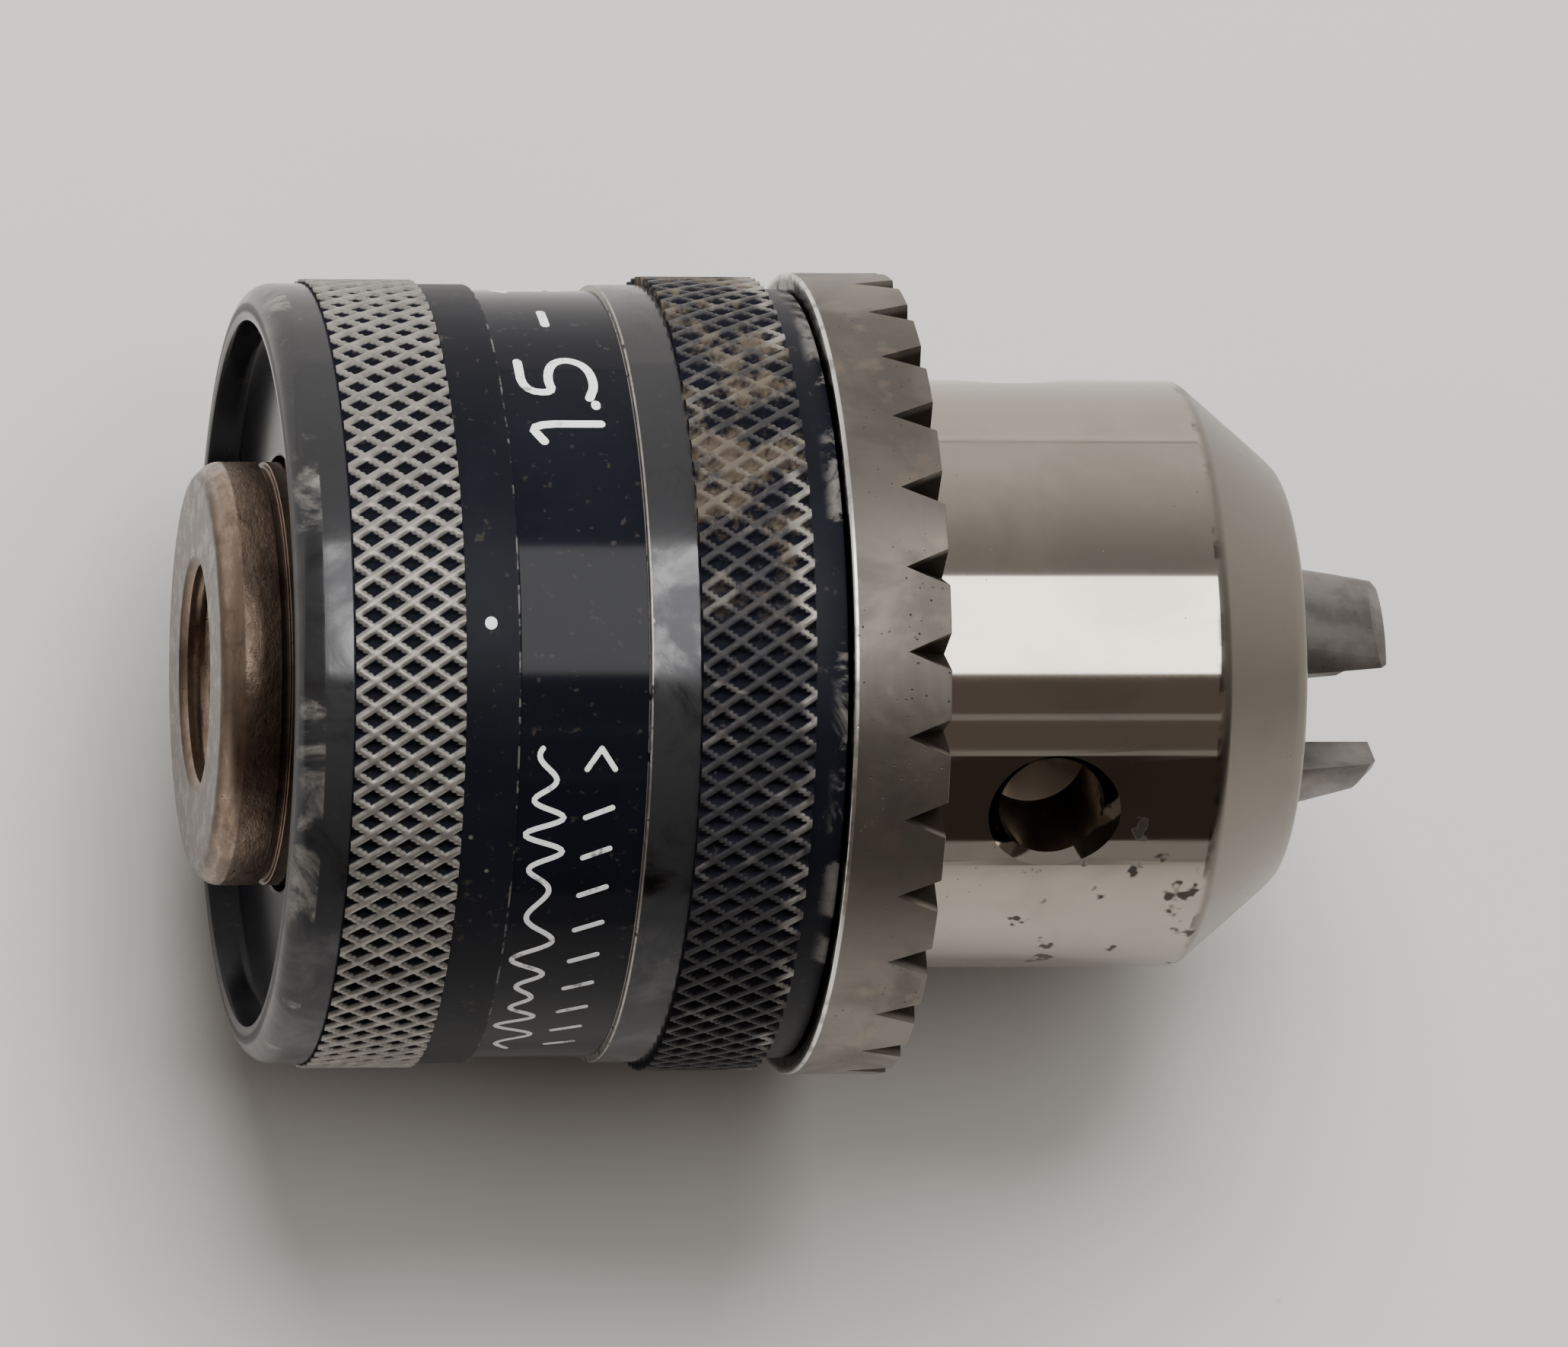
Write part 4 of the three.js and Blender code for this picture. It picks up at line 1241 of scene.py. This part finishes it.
def valley_cutter(gear, front, top):
    """The V-shaped gaps between all the teeth."""
    slant = math.atan2(gear.valley_depth, gear.valley_length)
    height = gear.valley_depth * math.cos(slant)
    open_, reach = 3, 2 * gear.valley_length
    points, faces = [], []
    for i in range(gear.teeth):
        turn = gear.first + i * TURN / gear.teeth
        out = direction(turn)
        side = Vector((1, 0, 0)).cross(out)
        root = Vector((front - gear.valley_length, 0, 0)) + out * top
        run = Vector((math.cos(slant), 0, 0)) - out * math.sin(slant)
        rise = Vector((math.sin(slant), 0, 0)) + out * math.cos(slant)
        base = len(points)
        for way in (-1, 1):
            end = root + run * (way * reach)
            wide = side * (open_ * gear.valley_width / 2)
            points += [end, end + rise * open_ * height + wide, end + rise * open_ * height - wide]
        faces += shifted(((0, 1, 2), (3, 4, 5), (0, 1, 4, 3), (1, 2, 5, 4), (2, 0, 3, 5)), base)
    return new_piece("valley cutter", points, faces)


def make_gear_ring(context):
    scene = context.scene
    gear = scene.chuck_gear
    low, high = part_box("gear_ring")
    sleeve_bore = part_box("sleeve")[1].z - scene.chuck_sleeve.front_rise - scene.chuck_sleeve.wall
    seat, edge = 0.15 * MM, 0.1 * MM
    spigot = sleeve_bore - seat
    bore = spigot - gear.spigot_wall
    hole = scene.chuck_body.nose_radius + scene.chuck_cone.fit
    rear = high.x - gear.width
    soft = gear.rounding
    profile = outline([
        (low.x, bore, edge),
        (low.x, spigot, 0.2 * MM),
        (rear, spigot, 0.05 * MM),
        (rear, high.z, soft),
        (high.x, high.z, soft * 0.6),
        (high.x, hole, soft),
        (high.x - gear.lip, hole, edge),
        (high.x - gear.lip, bore, edge),
    ], arc=3)
    piece = turned("toothed_ring", profile, 240)
    carve(piece, [valley_cutter(gear, high.x, high.z)])
    smooth(piece, 28)
    fit_out(piece, "turning_sleeve", "gear_steel",
            gear_steel(scene.chuck_finish, rear, high.z), "gear_ring")


# ---------------------------------------------------------------- split nut


def nut_half(name, cone, rear, front, outside, turn, split):
    """Half of the nut: a half ring with the thread's ridge on its conical inside."""
    thread = cone.settings
    rows, columns = 8 * round((front - rear) / cone.lead) + 1, 96
    around = np.linspace(-math.pi / 2, math.pi / 2, columns) + turn
    places = np.linspace(rear, front, rows)
    grid = []
    for place in places:
        away = abs((cone.phase(place, around) + 0.5) % 1 - 0.5) * thread.pitch
        ridge = np.clip((thread.ridge_root - away) / (thread.ridge_root - thread.ridge_crest), 0, 1)
        base = cone.radius(place) + thread.fit / cone.cos
        grid.append((place, base - ridge * thread.thread_depth / cone.cos))
    long, deep = 0.3 * MM, 0.25 * MM  # the chamfers round the nut's two ends
    for place, chamfer in ((front, deep), (front - long, 0.0), (rear + long, 0.0), (rear, deep)):
        grid.append((place, np.full(columns, outside - chamfer)))
    middle = direction(turn)
    points = []
    for place, radius in grid:
        for k in range(columns):
            point = Vector((place, 0, 0)) + direction(around[k]) * float(radius[k])
            short = split / 2 - point.dot(middle)
            points.append(point + middle * max(0.0, short))
    faces = grid_faces(len(grid), columns, True, False)
    for column in (0, columns - 1):
        faces.append(tuple(i * columns + column for i in range(len(grid))))
    return new_piece(name, points, faces)


def make_nut(context):
    scene = context.scene
    cone, race = Cone(scene.chuck_cone), scene.chuck_race
    low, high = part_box("nut_half_a")
    finish = oiled_steel(scene.chuck_finish)
    outside = max(high.y, high.z)
    for letter, flip in (("a", 0), ("b", math.pi)):
        piece = nut_half(f"split_nut_{letter}", cone, low.x, high.x, outside,
                         race.split_angle + flip, race.split)
        smooth(piece, 30)
        fit_out(piece, "turning_sleeve", "nut_steel", finish, f"nut_half_{letter}")


# ---------------------------------------------------------------- ball race


RACE_EDGE = 0.12 * MM  # rounding of the washers' and the cage's edges


def washer(name, node, race, pitch, track_ahead):
    """A thrust washer with a ball track in the face towards the balls."""
    low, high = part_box(node)
    inner = scene_register() + bpy.context.scene.chuck_cone.fit
    outer = high.z
    face, back = (high.x, low.x) if track_ahead else (low.x, high.x)
    way = -1 if track_ahead else 1
    half = math.sqrt(2 * race.ball * race.track)
    track, steps = [], 8
    for k in range(steps + 1):
        across = half * (2 * k / steps - 1)
        deep = race.track * (1 - (across / half) ** 2)
        track.append((face + way * deep, pitch + across))
    profile = outline([
        (back, inner, RACE_EDGE), (face, inner, RACE_EDGE), *track,
        (face, outer, RACE_EDGE), (back, outer, RACE_EDGE),
    ])
    return turned(name, profile, 144)


def scene_register():
    """Radius of the seat that centres the race."""
    body = bpy.context.scene.chuck_body
    return body.nose_radius + body.register_step


def make_race(context):
    scene = context.scene
    race = scene.chuck_race
    inner = scene_register() + scene.chuck_cone.fit
    cage_low, cage_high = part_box("ball_cage")
    pitch = (inner + cage_high.z) / 2
    finish = bearing_steel(scene.chuck_finish)
    rear = washer("rear_race_washer", "race_rear", race, pitch, True)
    front = washer("front_race_washer", "race_front", race, pitch, False)
    smooth(rear)
    smooth(front)
    fit_out(rear, "body", "race_steel", finish, "race_rear")
    fit_out(front, "turning_sleeve", "race_steel", finish, "race_front")

    middle = (cage_low.x + cage_high.x) / 2
    cage = turned("ball_cage_ring", outline([
        (cage_low.x, inner, RACE_EDGE), (cage_low.x, cage_high.z, RACE_EDGE),
        (cage_high.x, cage_high.z, RACE_EDGE), (cage_high.x, inner, RACE_EDGE),
    ]), 144)
    places = [
        Vector((middle, 0, 0)) + direction(TURN * i / race.balls) * pitch
        for i in range(race.balls)
    ]
    reach = 3 * (cage_high.x - cage_low.x)
    pocket = race.ball + race.pocket_gap
    carve(cage, [pin("pocket", place, (1, 0, 0), pocket, reach, 40) for place in places])
    smooth(cage)
    fit_out(cage, "ball_set", "cage_brass", cage_brass(scene.chuck_finish), "ball_cage")
    for i, place in enumerate(places):
        form = bmesh.new()
        bmesh.ops.create_icosphere(form, subdivisions=4, radius=race.ball)
        bmesh.ops.translate(form, verts=form.verts, vec=place)
        piece = from_form(f"thrust_ball_{i + 1:02d}", form)
        piece.data.shade_smooth()
        fit_out(piece, "ball_set", "race_steel", finish, f"ball_{i + 1:02d}")


# ---------------------------------------------------------------- stage


TABLE_GAP = 0.02 * MM  # between the chuck and the table under it


def make_table(tones, height):
    """A large smooth board under the chuck."""
    reach, rows = 3.0, 24
    steps = np.linspace(-reach, reach, rows)
    points = [(x, y, height) for x in steps for y in steps]
    board = new_piece("table_board", points, grid_faces(rows, rows, False, False))
    if board.data.polygons[0].normal.z < 0:
        board.data.flip_normals()
    board.data.materials.append(table_top(tones))


def area_light(name, shape, size, power, tone, place):
    light = bpy.data.lights.new(name, "AREA")
    light.shape, light.size, light.energy, light.color = shape, size, power, tone
    lamp = place_object(name, light)
    lamp.location = place
    return lamp


def make_panel(stage):
    """The lit ceiling panel that the polished faces reflect."""
    high = stage.panel_height
    near, far = high * math.tan(stage.panel_low), high * math.tan(stage.panel_high)
    place = (stage.panel_shift, (near + far) / 2, high)
    lamp = area_light("ceiling_panel", "RECTANGLE", stage.panel_long, stage.panel_power,
                      (1.0, 0.985, 0.96), place)
    lamp.data.size_y = far - near


def make_fill(stage):
    """A broad soft light on the table, from the far side."""
    width, place, target = 1.1, (0.05, 0.85, 1.35), Vector((0.03, 0, 0))
    lamp = area_light("soft_fill", "DISK", width, stage.fill_power, (1.0, 0.99, 0.975), place)
    aim = target - lamp.location
    lamp.rotation_euler = aim.to_track_quat("-Z", "Y").to_euler()
    lamp.visible_glossy = False


# Bands of the room round the chuck's axis, in degrees: start, end and soft edge.
PERSON_NEAR, PERSON_FAR = (-44, -14, 2), (-80, -44, 2)
BRIGHT_GAPS = (-30, -28, 0.4), (-43.5, -42, 0.4)
BRIGHT_WALL = 28, 85

# How much of the light somebody standing there takes away, and the room's levels.
NEAR_SHADE, FAR_SHADE = 0.55, 0.86
SKY_LEVEL, WALL_LEVEL, SEEN_LEVEL = 0.40, 1.05, 0.7


def make_room():
    """Soft light from a pale room, darker on the side where somebody stands."""
    world = bpy.data.worlds.new("soft_room")
    bpy.context.scene.world = world
    world.use_nodes = True
    room = Graph(world.node_tree)
    way = room.node("ShaderNodeTexCoord").outputs["Generated"]
    parts = room.node("ShaderNodeSeparateXYZ", Vector=way).outputs
    turn = room.math("ARCTAN2", parts["Y"], parts["Z"])

    def band(degrees):
        return room.within(turn, *map(math.radians, degrees))

    gaps = room.most(*map(band, BRIGHT_GAPS))
    dim = room.most(room.times(band(PERSON_NEAR), NEAR_SHADE),
                    room.times(band(PERSON_FAR), FAR_SHADE))
    dark = room.times(room.without(gaps), dim)
    sky = room.ramp(turn, *map(math.radians, BRIGHT_WALL), SKY_LEVEL, WALL_LEVEL)
    tint = room.tint(dark, (1.0, 0.965, 0.92), (1.0, 0.74, 0.60))
    level = room.times(sky, room.without(dark))
    lit = room.node("ShaderNodeBackground", Color=tint, Strength=level)
    seen = room.node("ShaderNodeBackground", Color=(0.80, 0.785, 0.765), Strength=SEEN_LEVEL)
    camera_ray = room.node("ShaderNodeLightPath").outputs["Is Camera Ray"]
    mixed = room.node("ShaderNodeMixShader")
    for socket, source in zip(mixed.inputs, (camera_ray, lit.outputs[0], seen.outputs[0])):
        room.feed(socket, source)
    room.node("ShaderNodeOutputWorld", Surface=mixed.outputs[0])


def make_camera(stage):
    """The camera, level with the chuck's axis across the picture and the nose to the right."""
    low, high = frame_box
    centre = (low + high) / 2
    azimuth, elevation = stage.azimuth, stage.elevation
    back = Vector((
        math.sin(azimuth) * math.cos(elevation),
        -math.cos(azimuth) * math.cos(elevation),
        math.sin(elevation),
    ))
    right = Vector((1, 0, 0))
    right = (right - back * right.dot(back)).normalized()
    up = back.cross(right)
    camera = bpy.data.cameras.new("camera")
    camera.sensor_width = 36.0
    camera.lens = camera.sensor_width * stage.distance / stage.span
    camera.clip_start, camera.clip_end = 0.01, 20
    holder = place_object("camera", camera)
    turn = Matrix((right, up, back)).transposed().to_4x4()
    holder.matrix_world = Matrix.Translation(centre + back * stage.distance) @ turn
    bpy.context.scene.camera = holder


def make_stage(context):
    scene = context.scene
    make_camera(scene.chuck_stage)
    make_table(scene.chuck_finish, frame_box[0].z - TABLE_GAP)
    make_panel(scene.chuck_stage)
    make_fill(scene.chuck_stage)
    make_room()


# ---------------------------------------------------------------- operators and panel


class CHUCK_OT_make_stage(bpy.types.Operator):
    """Set up the camera, the table and the light"""

    bl_idname = "chuck.make_stage"
    bl_label = "Stage"

    def execute(self, context):
        make_stage(context)
        return {"FINISHED"}


class CHUCK_OT_make_body(bpy.types.Operator):
    """Make the steel body with its hub, nose, bores and pilot holes"""

    bl_idname = "chuck.make_body"
    bl_label = "Body"

    def execute(self, context):
        make_body(context)
        return {"FINISHED"}


class CHUCK_OT_make_jaws(bpy.types.Operator):
    """Make the three threaded jaws"""

    bl_idname = "chuck.make_jaws"
    bl_label = "Jaws"

    def execute(self, context):
        make_jaws(context)
        return {"FINISHED"}


class CHUCK_OT_make_sleeve(bpy.types.Operator):
    """Make the black sleeve with its two knurls"""

    bl_idname = "chuck.make_sleeve"
    bl_label = "Sleeve"

    def execute(self, context):
        make_sleeve(context)
        return {"FINISHED"}


class CHUCK_OT_make_marks(bpy.types.Operator):
    """Make the white numerals, turning mark and index dot on the sleeve"""

    bl_idname = "chuck.make_marks"
    bl_label = "Marks"

    def execute(self, context):
        make_marks(context)
        return {"FINISHED"}


class CHUCK_OT_make_gear_ring(bpy.types.Operator):
    """Make the bevel-toothed ring that the key turns"""

    bl_idname = "chuck.make_gear_ring"
    bl_label = "Gear ring"

    def execute(self, context):
        make_gear_ring(context)
        return {"FINISHED"}


class CHUCK_OT_make_nut(bpy.types.Operator):
    """Make the two halves of the threaded nut"""

    bl_idname = "chuck.make_nut"
    bl_label = "Split nut"

    def execute(self, context):
        make_nut(context)
        return {"FINISHED"}


class CHUCK_OT_make_race(bpy.types.Operator):
    """Make the thrust washers, the cage and the balls"""

    bl_idname = "chuck.make_race"
    bl_label = "Ball race"

    def execute(self, context):
        make_race(context)
        return {"FINISHED"}


STEPS = (
    CHUCK_OT_make_stage,
    CHUCK_OT_make_body,
    CHUCK_OT_make_jaws,
    CHUCK_OT_make_sleeve,
    CHUCK_OT_make_marks,
    CHUCK_OT_make_gear_ring,
    CHUCK_OT_make_nut,
    CHUCK_OT_make_race,
)
SETTINGS = {
    "chuck_cone": ConeSettings,
    "chuck_body": BodySettings,
    "chuck_jaws": JawSettings,
    "chuck_sleeve": SleeveSettings,
    "chuck_marks": MarkSettings,
    "chuck_gear": GearSettings,
    "chuck_race": RaceSettings,
    "chuck_finish": FinishSettings,
    "chuck_stage": StageSettings,
}


class CHUCK_PT_panel(bpy.types.Panel):
    """The chuck's pieces, in the order they are made"""

    bl_idname = "CHUCK_PT_panel"
    bl_label = "Drill chuck"
    bl_space_type = "VIEW_3D"
    bl_region_type = "UI"
    bl_category = "Chuck"

    def draw(self, context):
        for step in STEPS:
            self.layout.operator(step.bl_idname)


def register():
    for group in SETTINGS.values():
        bpy.utils.register_class(group)
    for name, group in SETTINGS.items():
        setattr(bpy.types.Scene, name, PointerProperty(type=group))
    for step in STEPS:
        bpy.utils.register_class(step)
    bpy.utils.register_class(CHUCK_PT_panel)


def unregister():
    bpy.utils.unregister_class(CHUCK_PT_panel)
    for step in reversed(STEPS):
        bpy.utils.unregister_class(step)
    for name in SETTINGS:
        delattr(bpy.types.Scene, name)
    for group in reversed(list(SETTINGS.values())):
        bpy.utils.unregister_class(group)


def main():
    register()
    for step in STEPS:
        group, name = step.bl_idname.split(".")
        getattr(getattr(bpy.ops, group), name)()


if __name__ == "__main__":
    main()
